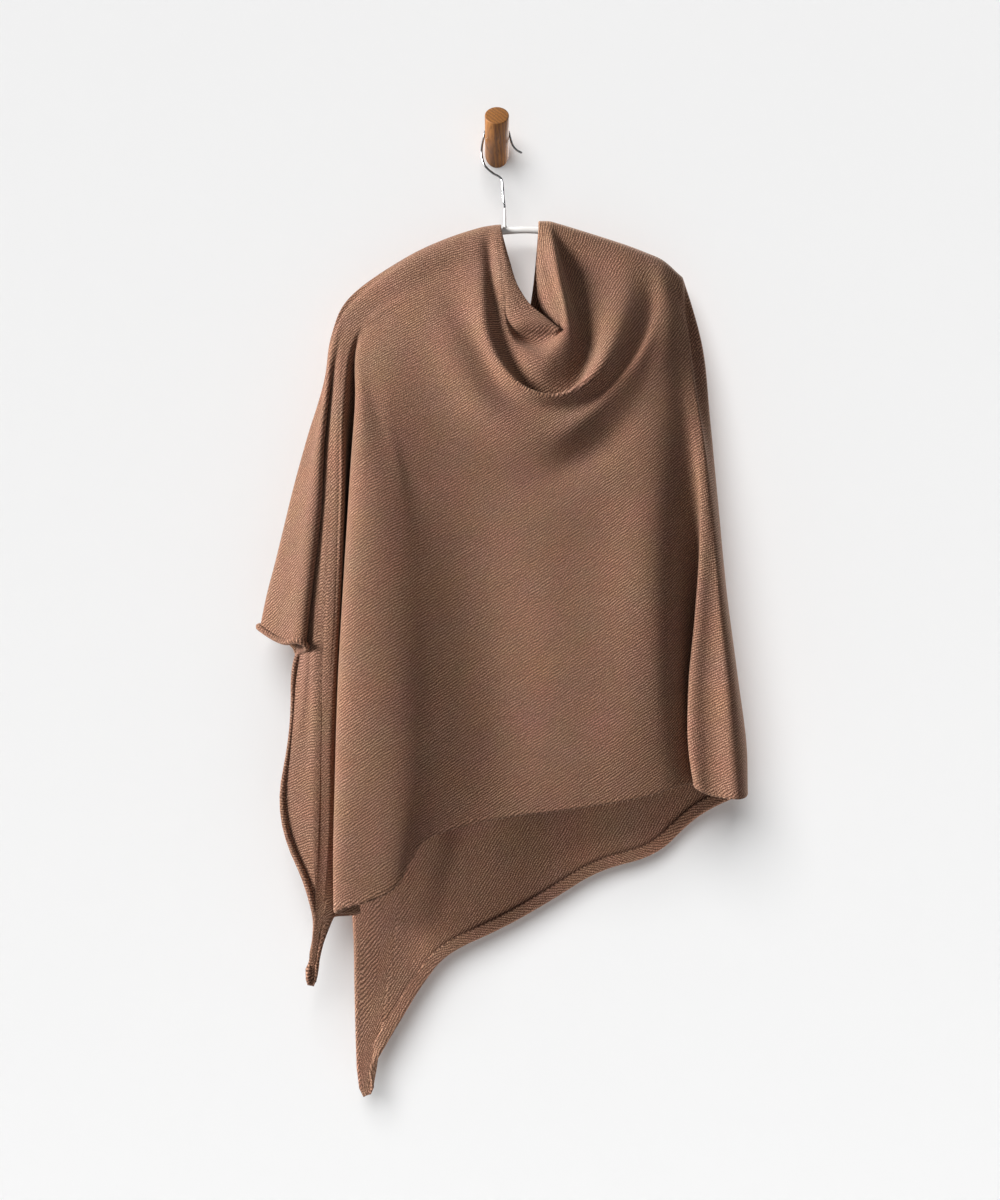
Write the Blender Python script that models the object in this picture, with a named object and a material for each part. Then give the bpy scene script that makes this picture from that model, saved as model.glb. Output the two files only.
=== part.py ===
"""A fine knit poncho with an asymmetric hem, on a slim hanger hooked over a round wall peg.

Tables are in millimetres: x to the viewer's right, y into the wall (the room is at -y), z up.
The origin is the centre of the peg's face against the wall.
"""

import math

import bmesh
import bpy
import numpy as np
from mathutils import Matrix, Vector

MM = 0.001

# Cloth
WALL = 2.6  # a doubled-back fine knit
SEAM_GAP = 0.3
ROLL_RADIUS = 3.0  # the curl of the open short edges
ROLL_GAP = 0.5
ROLL_SIDES = 8
BAND_FOOT = 0.6  # the turned-up hem starts this far above the cloth's edge
BAND_WIDTH = 11.0
BAND_WALL = 1.8
BAND_GAP = 0.5
EVEN_OVER = 4.0  # normals are evened out over about this length
EVEN_PASSES = 10
SUBROWS = 2  # mesh rows between two sections

# Peg, hanger and hook
PEG_RADIUS = 14.2
PEG_LENGTH = 60.0
PEG_TILT = math.radians(30)
PEG_EDGE = 1.2
HANGER_Y = -34.0
HANGER_DEPTH = 6.5
HANGER_HEIGHT = 8.0
HANGER_CLEAR = 3.5  # from the bar up to the cloth
HANGER_SIDES = 12
COLLAR_X = 9.5
COLLAR_FOOT_RADIUS = 3.0
COLLAR_TOP_RADIUS = 2.1
COLLAR_TOP = -74.0
COLLAR_FOOT = -100.0
WIRE_RADIUS = 1.6
WIRE_CLEAR = 0.9  # from the wire to the peg
HOOK_Y = -21.0  # the hook rides the peg this far from the wall

# The hanger's bar: x under the left shoulder, points across the neck, x under the right shoulder.
BAR_LEFT = (-160, -130, -100, -70, -40, -15)
BAR_NECK = [(8, -101.0), (28, -99.5), (50, -100.0), (80, -104.0)]
BAR_RIGHT = (110, 135, 160, 185, 197)

# The hook's wire from the collar up to the peg's left side, and past the peg to the tip: x, y, z.
HOOK_STEM = [
    (COLLAR_X, HANGER_Y, COLLAR_TOP + SEAM_GAP), (8, -34, -64), (7, -33, -50), (5, -31, -38),
    (-5, -29, -31), (-14, -27, -22), (-18, -24, -8),
]
HOOK_TIP = [(19, HOOK_Y, 4), (23, HOOK_Y, -1), (30, HOOK_Y, -5)]
HOOK_TURNS = (175, 150, 120, 90, 60, 30, 5)  # degrees round the peg

# The top line of the cloth over the hanger: x, z.
RIDGE = [
    (-182, -198), (-171, -184), (-147, -164), (-115, -141), (-75, -120), (-35, -105),
    (0, -95), (8, -95), (49, -90), (60, -90), (86, -98), (121, -110), (157, -123), (180, -132),
    (207, -147), (217, -159), (225, -174),
]

# Rows around the neck, from the neck edge outward. Each starts on the left ridge, runs down and
# across the front as a soft fold, and ends on the right ridge.
# name, x on the left ridge, x on the right ridge, drop of the same row on the back, which of its
# points is at the tip of the V (0 if none), front points
NECK_ROWS = [
    ("edge", 4, 50, 134, 5, [
        (18, -58, -142), (29, -70, -177), (41, -79, -199), (53, -84, -213), (62, -86, -219),
        (65, -79, -219), (60, -72, -212), (52, -65, -200), (48, -55, -163), (48, -45, -126)]),
    ("pocket", 1, 54, 142, 7, [
        (4, -62, -143), (10, -76, -184), (20, -85, -221), (31, -82, -236), (49, -81, -242),
        (63, -85, -237), (73, -88, -227), (71, -80, -208), (60, -68, -172), (54, -50, -129)]),
    ("first ridge", -3, 59, 150, 8, [
        (-3, -62, -143), (1, -78, -185), (8, -88, -227), (20, -93, -245), (35, -96, -254),
        (52, -97, -258), (69, -96, -246), (79, -93, -226), (77, -86, -201), (70, -72, -163),
        (64, -50, -121)]),
    ("first valley", -12, 70, 165, 0, [
        (-9, -56, -142), (-4, -68, -189), (9, -78, -240), (26, -84, -274), (41, -88, -290),
        (56, -90, -294), (75, -90, -290), (91, -88, -275), (100, -82, -243), (94, -70, -195),
        (79, -52, -139)]),
    ("second ridge", -38, 136, 190, 0, [
        (-39, -58, -146), (-37, -78, -191), (-21, -90, -229), (-1, -98, -264), (21, -104, -289),
        (43, -107, -301), (66, -107, -304), (91, -106, -296), (110, -102, -277),
        (124, -95, -251), (133, -84, -217), (137, -62, -166)]),
    ("second valley", -58, 168, 205, 0, [
        (-57, -56, -151), (-54, -68, -189), (-46, -78, -225), (-31, -84, -258), (-10, -90, -293),
        (15, -94, -312), (49, -96, -318), (77, -96, -318), (106, -94, -305), (131, -90, -278),
        (153, -80, -243), (166, -60, -182)]),
    ("third ridge", -78, 190, 215, 0, [
        (-75, -56, -163), (-69, -70, -206), (-51, -82, -249), (-28, -92, -294), (0, -98, -325),
        (29, -101, -338), (56, -102, -343), (85, -101, -337), (113, -98, -319),
        (143, -91, -290), (170, -78, -242), (187, -58, -187)]),
    ("third valley", -103, 210, 225, 0, [
        (-99, -56, -175), (-89, -70, -229), (-59, -84, -295), (-19, -92, -341),
        (21, -95, -362), (59, -96, -373), (95, -95, -359), (131, -91, -328), (164, -82, -283),
        (194, -66, -223), (209, -50, -185)]),
]

# Fold lines of the front below the neck, from the left outline to the right one.
# name, half the width of the folded edge (0 where the cloth curves softly), mesh columns at
# each of its bends, points downward
FRONT_FOLDS = [
    ("sleeve outline", 0, 3, [
        (-171, -34, -184), (-181, -37, -198), (-189, -40, -222), (-191, -42, -242),
        (-195, -45, -271), (-202, -47, -294), (-210, -49, -323), (-222, -51, -368),
        (-240, -53, -431), (-252, -54, -479), (-263, -55, -522), (-271, -56, -568)]),
    ("sleeve front", 0, 2, [
        (-172, -40, -189), (-184, -46, -210), (-192, -52, -244), (-196, -58, -280),
        (-208, -64, -338), (-223, -70, -408), (-233, -74, -477), (-242, -76, -535),
        (-247, -76, -576)]),
    ("sleeve fold", 7, 3, [
        (-173, -44, -194), (-186, -51, -227), (-193, -58, -263), (-197, -67, -304),
        (-203, -77, -371), (-205, -83, -433), (-210, -86, -480), (-215, -88, -522),
        (-221, -89, -574)]),
    ("behind the sleeve", 5, 3, [
        (-172, -46, -199), (-181, -52, -230), (-185, -57, -262), (-192, -59.5, -304),
        (-202, -63, -385), (-210, -67, -466), (-218, -69, -535), (-226, -68, -590)]),
    ("open edge 1", 0, 2, [
        (-171, -47, -204), (-176, -51.5, -222), (-181, -56, -250), (-189, -60, -304),
        (-198, -65.5, -420), (-212, -69, -560), (-224, -68.5, -645), (-234, -68, -690)]),
    ("open edge 2", 0, 3, [
        (-170, -48, -208), (-174, -52, -228), (-178, -55.5, -250), (-186, -60.8, -304),
        (-194, -67, -420), (-204, -70, -560), (-211, -69, -650), (-228, -68, -745),
        (-239, -67, -785)]),
    ("open edge 3", 0, 2, [
        (-169, -49, -213), (-172, -52, -232), (-175, -55.5, -250), (-183, -61.8, -304),
        (-189, -68.5, -420), (-197, -71, -560), (-201, -71, -650), (-206, -70.5, -750),
        (-216, -70, -870)]),
    ("front corner", 4, 1, [
        (-167, -50, -218), (-172, -56, -250), (-180, -63, -304), (-184, -70, -420),
        (-190, -73, -560), (-192, -73, -650), (-195, -73, -790), (-203, -72, -905),
        (-212, -72, -984)]),
    ("second layer", 5, 2, [
        (-165, -51, -222), (-170, -58, -253), (-176, -66, -308), (-178, -73, -430),
        (-182, -76, -592), (-186, -77, -765), (-191, -74, -906)]),
    ("behind the front", 6, 2, [
        (-162, -52, -227), (-159, -53, -256), (-151, -50, -313), (-149, -46, -418),
        (-155, -45, -535), (-162, -47, -699), (-161, -56, -900)]),
    ("front fold", 7, 2, [
        (-157, -55, -233), (-159, -67, -263), (-160, -77, -305), (-164, -85, -384),
        (-165, -88, -422), (-170, -93, -500), (-175, -97, -577), (-180, -102, -691),
        (-181, -104, -750), (-183, -107, -828), (-183, -107, -885)]),
    ("front 1", 0, 2, [
        (-145, -68, -262), (-141, -79, -305), (-137, -89, -364), (-139, -103, -535),
        (-145, -111, -704), (-147, -114, -872)]),
    ("front 2", 0, 2, [
        (-124, -83, -312), (-109, -97, -444), (-107, -106, -591), (-109, -112, -738),
        (-116, -112, -855)]),
    ("front 3", 0, 2, [
        (-105, -87, -358), (-83, -99, -490), (-78, -104, -625), (-82, -107, -738),
        (-95, -105, -822)]),
    ("front 4", 0, 2, [
        (-66, -92, -394), (-46, -99, -524), (-42, -101, -648), (-51, -101, -739),
        (-63, -98, -798)]),
    ("front 5", 0, 2, [
        (-13, -95, -424), (9, -98, -580), (12, -95, -694), (7, -91, -782)]),
    ("front 6", 0, 2, [
        (43, -97, -436), (72, -98, -592), (79, -93, -694), (81, -88, -772)]),
    ("front 7", 0, 2, [
        (104, -96, -412), (140, -97, -580), (155, -91, -695), (160, -86, -759)]),
    ("front 8", 0, 2, [
        (158, -88, -360), (190, -94, -535), (200, -89, -649), (208, -79, -747)]),
    ("right valley", 6, 2, [
        (194, -75, -302), (222, -78, -397), (230, -73, -535), (236, -66, -651),
        (243, -60, -746)]),
    ("right fold", 6, 2, [
        (210, -65, -252), (229, -80, -363), (231, -89, -467), (226, -96, -538), (221, -98, -596),
        (218, -99, -648), (218, -99, -694), (226, -97, -747)]),
    ("right side", 0, 2, [
        (221, -52, -217), (242, -74, -362), (247, -84, -535), (253, -86, -649),
        (260, -80, -756)]),
    ("right outline", 0, 3, [
        (225, -34, -174), (232, -38, -208), (237, -40, -228), (240, -42, -267), (245, -45, -321),
        (250, -48, -377), (253, -50, -418), (262, -53, -522), (272, -54, -609), (278, -55, -656),
        (285, -55, -719), (285, -55, -760)]),
]

# Where the back panel's columns end on its slanting hem, right to left.
BACK_HEM = [
    (257, -30, -776), (225, -22, -799), (183, -20, -832), (122, -20, -855), (64, -21, -887),
    (4, -24, -920), (-55, -28, -950), (-87, -31, -982), (-108, -34, -1018), (-137, -36, -1072),
]

# Where the back's columns end on its open edge, from the bottom corner up to the sleeve's hem:
# x where the column leaves the yoke, then the point on the edge.
BACK_OPEN_EDGE = [
    (-97, (-149, -33, -1108)), (-105, (-159, -32, -1098)), (-113, (-161, -33, -1015)),
    (-124, (-163, -33, -935)),
    (-135, (-170, -32, -860)), (-145, (-189, -30, -765)), (-153, (-212, -31, -682)),
    (-160, (-233, -36, -618)), (-166, (-254, -47, -580)),
]

BACK_Y = -21.0  # the back panel hangs this far from the wall
BACK_WAVE = 2.5  # depth of its soft waves
BACK_YOKE_RIGHT = 214.0
BACK_YOKE_LEFT = -84.0
BACK_EDGE_HOOK = 3.0  # how late a column turns out to the open edge
YOKE_DROP = 250.0
TIP_SHARE = 0.6  # the V's tip is this far along each row that has it
LEVELS = [0.0, 0.12, 0.27, 0.43, 0.6, 0.78, 0.92, 1.0]  # of each fold line's length


def lengths(line):
    """Distance along a line of points, at each point."""
    steps = np.linalg.norm(np.diff(line, axis=0), axis=1)
    return np.concatenate([[0.0], np.cumsum(steps)])


def through(points, at, knots=None):
    """A smooth curve through points (first axis), read at places measured in knots."""
    points = np.asarray(points, float)
    if knots is None:
        knots = lengths(points)
    steps = np.diff(knots)
    shape = (-1,) + (1,) * (points.ndim - 1)
    slopes = np.diff(points, axis=0) / steps.reshape(shape)
    before, after = steps[:-1].reshape(shape), steps[1:].reshape(shape)
    tangents = np.concatenate([
        slopes[:1],
        (slopes[:-1] * after + slopes[1:] * before) / (before + after),
        slopes[-1:],
    ])
    at = np.asarray(at, float)
    i = np.clip(np.searchsorted(knots, at, side="right") - 1, 0, len(steps) - 1)
    step = steps[i].reshape(shape)
    u = ((at - knots[i]) / steps[i]).reshape(shape)
    a, b = points[i], points[i + 1]
    ta, tb = tangents[i] * step, tangents[i + 1] * step
    return (
        a * (2 * u**3 - 3 * u**2 + 1) + ta * (u**3 - 2 * u**2 + u)
        + b * (3 * u**2 - 2 * u**3) + tb * (u**3 - u**2)
    )


def at_fractions(points, fractions):
    """Points of the smooth curve at fractions of its length."""
    points = np.asarray(points, float)
    fine = through(points, np.linspace(0, lengths(points)[-1], 12 * len(points)))
    along = lengths(fine)
    wanted = np.asarray(fractions) * along[-1]
    return np.stack([np.interp(wanted, along, fine[:, k]) for k in range(3)], axis=1)


def ridge_z(x):
    """Height of the cloth's top line at x."""
    line = np.array(RIDGE, float)
    return float(np.interp(x, line[:, 0], line[:, 1]))


def front_row(left_x, right_x, points):
    """A neck row over the front, from the left ridge to the right one."""
    left, right = ridge_z(left_x), ridge_z(right_x)
    start = [(left_x, HANGER_Y, left), (left_x, HANGER_Y - 8, left - 4)]
    end = [(right_x, HANGER_Y - 8, right - 4), (right_x, HANGER_Y, right)]
    return start + points + end


def back_row(left_x, right_x, drop):
    """The same row over the back, from the right ridge to the left one, hanging as a soft U."""
    left, right = ridge_z(left_x), ridge_z(right_x)
    row = [(right_x, HANGER_Y, right), (right_x, HANGER_Y + 7, right - 5)]
    for s in (0.08, 0.2, 0.35, 0.5, 0.65, 0.8, 0.92):
        hang = math.sin(math.pi * s) ** 0.75
        x = right_x + (left_x - right_x) * s
        z = right + (left - right) * s - drop * hang
        row.append((x, BACK_Y, z))
    row += [(left_x, HANGER_Y + 7, left - 5), (left_x, HANGER_Y, left)]
    return row


def unit(vectors):
    """The vectors at length one."""
    return vectors / np.maximum(np.linalg.norm(vectors, axis=-1, keepdims=True), 1e-9)


def rounded_loop(line, widths, counts):
    """A closed section through the fold points.

    A soft point is one rounded corner. A folded edge is two, set apart by its width, so that the
    wall turns round a real bend and not a crease.
    """
    before, after = np.roll(line, 1, axis=0) - line, np.roll(line, -1, axis=0) - line
    room = 0.3 * np.minimum(np.linalg.norm(before, axis=1), np.linalg.norm(after, axis=1))
    half = np.minimum(widths, room)[:, None] * unit(unit(before) - unit(after))
    first, second = line + half, line - half
    soft = np.asarray(widths) == 0
    for _ in range(6):
        pull = np.roll(second, 1, axis=0) + np.roll(first, -1, axis=0) - 2 * line
        bend = line - pull / 4
        first[soft] = bend[soft]
        second[soft] = bend[soft]
    corners, at_corner = [], []
    for i, is_soft in enumerate(soft):
        corners += [first[i]] if is_soft else [first[i], second[i]]
        at_corner += [counts[i]] * (1 if is_soft else 2)
    corners = np.array(corners)
    enter = (corners + np.roll(corners, 1, axis=0)) / 2
    leave = (corners + np.roll(corners, -1, axis=0)) / 2
    section = []
    for i, corner in enumerate(corners):
        for k in range(at_corner[i]):
            u = (k + 0.5) / at_corner[i]
            section.append((1 - u) ** 2 * enter[i] + 2 * u * (1 - u) * corner + u**2 * leave[i])
    return np.array(section)


def back_columns():
    """Fold lines of the back, from its yoke to the slanting hem, then to the open edge."""
    yoke = at_fractions(back_row(RIDGE[1][0], RIDGE[-1][0], YOKE_DROP), np.linspace(0, 1, 80))
    yoke = yoke[::-1]
    columns = []
    for i, foot in enumerate(BACK_HEM):
        x = BACK_YOKE_RIGHT + (BACK_YOKE_LEFT - BACK_YOKE_RIGHT) * i / (len(BACK_HEM) - 1)
        columns.append((x, foot, 2))
    columns += [(x, foot, 1) for x, foot in BACK_OPEN_EDGE]
    lines = []
    for i, (x, foot, count) in enumerate(columns):
        hook = float(np.interp(i, [3, len(BACK_HEM)], [1, BACK_EDGE_HOOK]))
        top = [np.interp(x, yoke[:, 0], yoke[:, k]) for k in range(3)]
        line = []
        for v in np.linspace(0, 1, 7):
            wave = -BACK_WAVE * math.sin(math.pi * v) * math.cos(1.9 * i)
            line.append((top[0] + (foot[0] - top[0]) * v**hook,
                         top[1] + (foot[1] - top[1]) * v + wave * (count > 1),
                         top[2] + (foot[2] - top[2]) * v))
        lines.append((f"back {i + 1}", 0, count, line))
    return lines


def garment_grid():
    """Rows of points round the whole cloth, from the neck edge to the hem.

    Returns the grid (rows, points, 3) and the indices where the front starts and ends.
    """
    folds = FRONT_FOLDS + back_columns()
    widths = np.array([fold[1] for fold in folds])
    counts = [fold[2] for fold in folds]
    lines = np.array([at_fractions(fold[3], LEVELS) for fold in folds])
    body = [rounded_loop(lines[:, k], widths, counts) for k in range(len(LEVELS))]

    bends = [2 if width else 1 for width in widths]
    front_count = sum(bends[i] * counts[i] for i in range(len(FRONT_FOLDS) - 1))
    start = counts[0] // 2
    last_front = front_count + counts[len(FRONT_FOLDS) - 1] // 2
    count = len(body[0])
    along = lengths(np.vstack([body[0], body[0][:1]]))
    front = np.arange(start, last_front + 1)
    back = np.arange(last_front, count + start + 1)
    sections = []
    for place, (_, left_x, right_x, drop, tip, points) in enumerate(NECK_ROWS):
        spread = 0.55 * (1 - place / len(NECK_ROWS))
        row = np.zeros((count, 3))
        halves = ((front, front_row(left_x, right_x, points)),
                  (back, back_row(left_x, right_x, drop)))
        for index, line in halves:
            place_along = along[index % count] + (index >= count) * along[-1]
            even = np.linspace(0, 1, len(index))
            f = (place_along - place_along[0]) / (place_along[-1] - place_along[0])
            f = (1 - spread) * f + spread * even
            if tip and index is front:
                so_far = lengths(np.array(line, float))
                f = np.interp(f, [0, TIP_SHARE, 1], [0, so_far[tip + 1] / so_far[-1], 1])
            row[index % count] = at_fractions(line, f)
        sections.append(row)
    sections = np.array(sections + body)
    gaps = np.linalg.norm(np.diff(sections, axis=0), axis=2).mean(axis=1)
    knots = np.concatenate([[0.0], np.cumsum(gaps)])
    at = np.concatenate(
        [np.linspace(knots[i], knots[i + 1], SUBROWS, endpoint=False)
         for i in range(len(gaps))] + [knots[-1:]])
    return through(sections, at, knots), start, last_front


def grid_normals(grid):
    """Unit normals out of the garment, evened out where the cloth bends tightly."""
    around = np.roll(grid, -1, axis=1) - np.roll(grid, 1, axis=1)
    down = np.empty_like(grid)
    down[1:-1] = grid[2:] - grid[:-2]
    down[0] = grid[1] - grid[0]
    down[-1] = grid[-1] - grid[-2]
    normals = unit(np.cross(down, around))
    step = np.linalg.norm(np.roll(grid, -1, axis=1) - grid, axis=2, keepdims=True)
    share = np.exp(-step / EVEN_OVER)
    for _ in range(EVEN_PASSES):
        normals = unit(normals + share * np.roll(normals, -1, axis=1)
                       + np.roll(share, 1, axis=1) * np.roll(normals, 1, axis=1))
    return normals


def clear_scene():
    for thing in list(bpy.data.objects):
        bpy.data.objects.remove(thing, do_unlink=True)


def material(name, colour, roughness, metallic=0.0):
    """A plain surface in one colour."""
    made = bpy.data.materials.new(name)
    made.use_nodes = True
    shader = made.node_tree.nodes["Principled BSDF"]
    shader.inputs["Base Color"].default_value = (*colour, 1)
    shader.inputs["Roughness"].default_value = roughness
    shader.inputs["Metallic"].default_value = metallic
    return made


def add_object(name, mesh_data, surface):
    mesh = bpy.data.meshes.new(name)
    mesh_data.to_mesh(mesh)
    mesh_data.free()
    mesh.shade_smooth()
    mesh.set_sharp_from_angle(angle=math.radians(50))
    mesh.materials.append(surface)
    made = bpy.data.objects.new(name, mesh)
    bpy.context.collection.objects.link(made)
    return made


def closed_wall(outer, inner):
    """A closed mesh between two grids of points that share their layout."""
    bm = bmesh.new()
    sheets = [[[bm.verts.new(Vector(p) * MM) for p in row] for row in g] for g in (outer, inner)]
    rows, points = outer.shape[:2]
    out, back = sheets
    for r in range(rows - 1):
        for i in range(points - 1):
            bm.faces.new((out[r][i], out[r + 1][i], out[r + 1][i + 1], out[r][i + 1]))
            bm.faces.new((back[r][i], back[r][i + 1], back[r + 1][i + 1], back[r + 1][i]))
    for i in range(points - 1):
        bm.faces.new((out[0][i], out[0][i + 1], back[0][i + 1], back[0][i]))
        bm.faces.new((out[-1][i + 1], out[-1][i], back[-1][i], back[-1][i + 1]))
    for r in range(rows - 1):
        bm.faces.new((out[r + 1][0], out[r][0], back[r][0], back[r + 1][0]))
        bm.faces.new((out[r][-1], out[r + 1][-1], back[r + 1][-1], back[r][-1]))
    bmesh.ops.triangulate(bm, faces=bm.faces)
    bmesh.ops.recalc_face_normals(bm, faces=bm.faces)
    return bm


def panel(grid, normals, index):
    """One panel: the grid's columns in index, as a wall, its two ends drawn in by the seam gap."""
    middle = grid[:, index].copy()
    facing = normals[:, index]
    for edge, inside in ((0, 1), (-1, -2)):
        inward = middle[:, inside] - middle[:, edge]
        inward -= (inward * facing[:, edge]).sum(axis=1, keepdims=True) * facing[:, edge]
        inward /= np.linalg.norm(inward, axis=1, keepdims=True)
        middle[:, edge] += inward * SEAM_GAP / 2
    return closed_wall(middle + facing * WALL / 2, middle - facing * WALL / 2)


def tube(line, radius, sides):
    """A round bar along a line of points, with its ends drawn in."""
    line = np.asarray(line, float)
    ahead = np.gradient(line, axis=0)
    ahead /= np.linalg.norm(ahead, axis=1, keepdims=True)
    side = np.cross(ahead[0], (0.0, 1.0, 0.3))
    rings = []
    sizes = [0.55] + [1.0] * (len(line) - 2) + [0.55]
    bm = bmesh.new()
    for point, direction, size in zip(line, ahead, sizes):
        side = side - direction * np.dot(side, direction)
        side /= np.linalg.norm(side)
        up = np.cross(direction, side)
        ring = []
        for k in range(sides):
            turn = 2 * math.pi * k / sides
            offset = (side * math.cos(turn) + up * math.sin(turn)) * radius * size
            ring.append(bm.verts.new(Vector(point + offset) * MM))
        rings.append(ring)
    for a, b in zip(rings, rings[1:]):
        for k in range(sides):
            n = (k + 1) % sides
            bm.faces.new((a[k], a[n], b[n], b[k]))
    bm.faces.new(rings[0])
    bm.faces.new(rings[-1])
    bmesh.ops.triangulate(bm, faces=bm.faces)
    bmesh.ops.recalc_face_normals(bm, faces=bm.faces)
    return bm


def edge_roll(grid, normals, index):
    """The curled edge: a bar just past the cloth's last row, over the columns in index."""
    edge = grid[-1]
    along = np.roll(edge, -1, axis=0) - np.roll(edge, 1, axis=0)
    past = np.cross(along, normals[-1])
    past /= np.linalg.norm(past, axis=1, keepdims=True)
    outward = np.sign((past * (edge - grid[-2])).sum())
    ahead = unit(np.roll(edge, -1, axis=0) - edge)
    turn = (ahead * np.roll(ahead, 1, axis=0)).sum(axis=1, keepdims=True)
    miter = 1 / np.sqrt(np.clip((1 + turn) / 2, 0.35, 1))
    centres = edge + past * outward * (ROLL_RADIUS + ROLL_GAP) * miter
    return tube(centres[index], ROLL_RADIUS, ROLL_SIDES)


def hem_band(grid, normals, index):
    """The turned-up hem: a strip on the inside of the wall, along its last row."""
    inner = grid - normals * WALL / 2
    foot, above = inner[-1][index], inner[-2][index]
    reach = np.linalg.norm(above - foot, axis=1, keepdims=True)
    rows = []
    for up in (BAND_FOOT, 0.5 * BAND_WIDTH, BAND_WIDTH):
        share = np.minimum(up / reach, 0.9)
        rows.append(foot + (above - foot) * share)
    rows = np.array(rows[::-1])
    inward = -normals[-1][index]
    return closed_wall(rows + inward * BAND_GAP, rows + inward * (BAND_GAP + BAND_WALL))


def make_peg(surface):
    """The round peg, tilted up, cut square at its tip and upright at the wall."""
    bm = bmesh.new()
    bmesh.ops.create_cone(
        bm, cap_ends=True, cap_tris=False, segments=40,
        radius1=PEG_RADIUS * MM, radius2=PEG_RADIUS * MM, depth=2 * PEG_LENGTH * MM)
    tip = max(bm.faces, key=lambda f: f.calc_center_median().z)
    bmesh.ops.bevel(
        bm, geom=list(tip.edges), offset=PEG_EDGE * MM, segments=2, profile=0.5,
        affect="EDGES", material=-1)
    bmesh.ops.rotate(bm, verts=bm.verts, matrix=Matrix.Rotation(math.pi / 2 - PEG_TILT, 3, "X"))
    bmesh.ops.bisect_plane(
        bm, geom=bm.verts[:] + bm.edges[:] + bm.faces[:], dist=1e-7,
        plane_co=(0, 0, 0), plane_no=(0, 1, 0), clear_outer=True)
    open_edges = [e for e in bm.edges if len(e.link_faces) == 1]
    bmesh.ops.holes_fill(bm, edges=open_edges, sides=0)
    bmesh.ops.recalc_face_normals(bm, faces=bm.faces)
    return add_object("wall_peg", bm, surface)


def hanger_line():
    """The hanger's middle line, under the cloth's ridge and arched across the neck."""
    below = WALL / 2 + HANGER_CLEAR + HANGER_HEIGHT / 2
    left = [(x, HANGER_Y, ridge_z(x) - below) for x in BAR_LEFT]
    middle = [(x, HANGER_Y, z) for x, z in BAR_NECK]
    right = [(x, HANGER_Y, ridge_z(x) - below) for x in BAR_RIGHT]
    return np.array(left + middle + right, float)


def make_hanger(surface):
    """The slim bar, oval in section, with the collar that takes the hook."""
    line = at_fractions(hanger_line(), np.linspace(0, 1, 24))
    bm = tube(line, HANGER_HEIGHT / 2, HANGER_SIDES)
    for vert in bm.verts:
        vert.co.y = HANGER_Y * MM + (vert.co.y - HANGER_Y * MM) * HANGER_DEPTH / HANGER_HEIGHT
    bar = add_object("hanger_bar", bm, surface)
    collar_mesh = bmesh.new()
    middle = Vector((COLLAR_X, HANGER_Y, (COLLAR_TOP + COLLAR_FOOT) / 2))
    bmesh.ops.create_cone(
        collar_mesh, cap_ends=True, cap_tris=False, segments=20,
        radius1=COLLAR_FOOT_RADIUS * MM, radius2=COLLAR_TOP_RADIUS * MM,
        depth=(COLLAR_TOP - COLLAR_FOOT) * MM, matrix=Matrix.Translation(middle * MM))
    bmesh.ops.recalc_face_normals(collar_mesh, faces=collar_mesh.faces)
    collar = add_object("collar_cutter", collar_mesh, surface)
    collar.hide_render = True
    collar.display_type = "WIRE"
    join = bar.modifiers.new("collar", "BOOLEAN")
    join.operation = "UNION"
    join.solver = "EXACT"
    join.object = collar
    return bar


def make_hook(surface):
    """The wire: up from the collar, round the left of the peg, over it and out to the tip."""
    clear = WIRE_RADIUS + WIRE_CLEAR
    middle_z = -HOOK_Y * math.tan(PEG_TILT)
    high = PEG_RADIUS / math.cos(PEG_TILT) + clear
    line = list(HOOK_STEM)
    for turn in HOOK_TURNS:
        angle = math.radians(turn)
        line.append(((PEG_RADIUS + clear) * math.cos(angle), HOOK_Y,
                     middle_z + high * math.sin(angle)))
    line += HOOK_TIP
    bm = tube(at_fractions(line, np.linspace(0, 1, 44)), WIRE_RADIUS, 10)
    return add_object("hanger_hook", bm, surface)


def make_cloth(surface, band_surface):
    grid, start, last_front = garment_grid()
    normals = grid_normals(grid)
    count = grid.shape[1]
    add_object("front_panel", panel(grid, normals, np.arange(start, last_front + 1)), surface)
    back = np.arange(last_front, count + start + 1) % count
    add_object("back_panel", panel(grid, normals, back), surface)

    corner = int(np.argmin(grid[-1, start:last_front, 2] + 1e3 * (
        grid[-1, start:last_front, 0] > -150))) + start
    back_corner = int(np.argmin(grid[-1, last_front:, 2])) + last_front
    front_edge = np.arange(start + 1, corner)
    back_edge = np.arange(back_corner + 1, count + start) % count
    add_object("front_edge_roll",
               edge_roll(grid, normals, front_edge), band_surface)
    add_object("back_edge_roll",
               edge_roll(grid, normals, back_edge), band_surface)
    front_hem = np.arange(corner + 2, last_front - 1)
    back_hem = np.arange(last_front + 2, back_corner)
    add_object("front_hem_band", hem_band(grid, normals, front_hem), band_surface)
    add_object("back_hem_band", hem_band(grid, normals, back_hem), band_surface)


def main():
    clear_scene()
    knit = material("fine_knit", (0.33, 0.20, 0.13), 0.9)
    hem = material("hem_knit", (0.30, 0.18, 0.12), 0.9)
    oak = material("oiled_oak", (0.45, 0.22, 0.08), 0.5)
    white = material("white_coating", (0.85, 0.85, 0.85), 0.35)
    chrome = material("chrome_wire", (0.8, 0.8, 0.82), 0.12, 1.0)
    make_cloth(knit, hem)
    make_peg(oak)
    make_hanger(white)
    make_hook(chrome)


main()
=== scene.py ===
# %% [markdown]
# # A knitted poncho on a slim hanger
#
# The object is a fine-knit poncho. It hangs on a slim white hanger whose wire hook goes over a
# round oak peg in the wall. The rigid frame comes in first: every piece made here lies where its
# solid lies.

import math

import bmesh
import bpy
import numpy as np
from mathutils import Matrix, Vector


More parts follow.
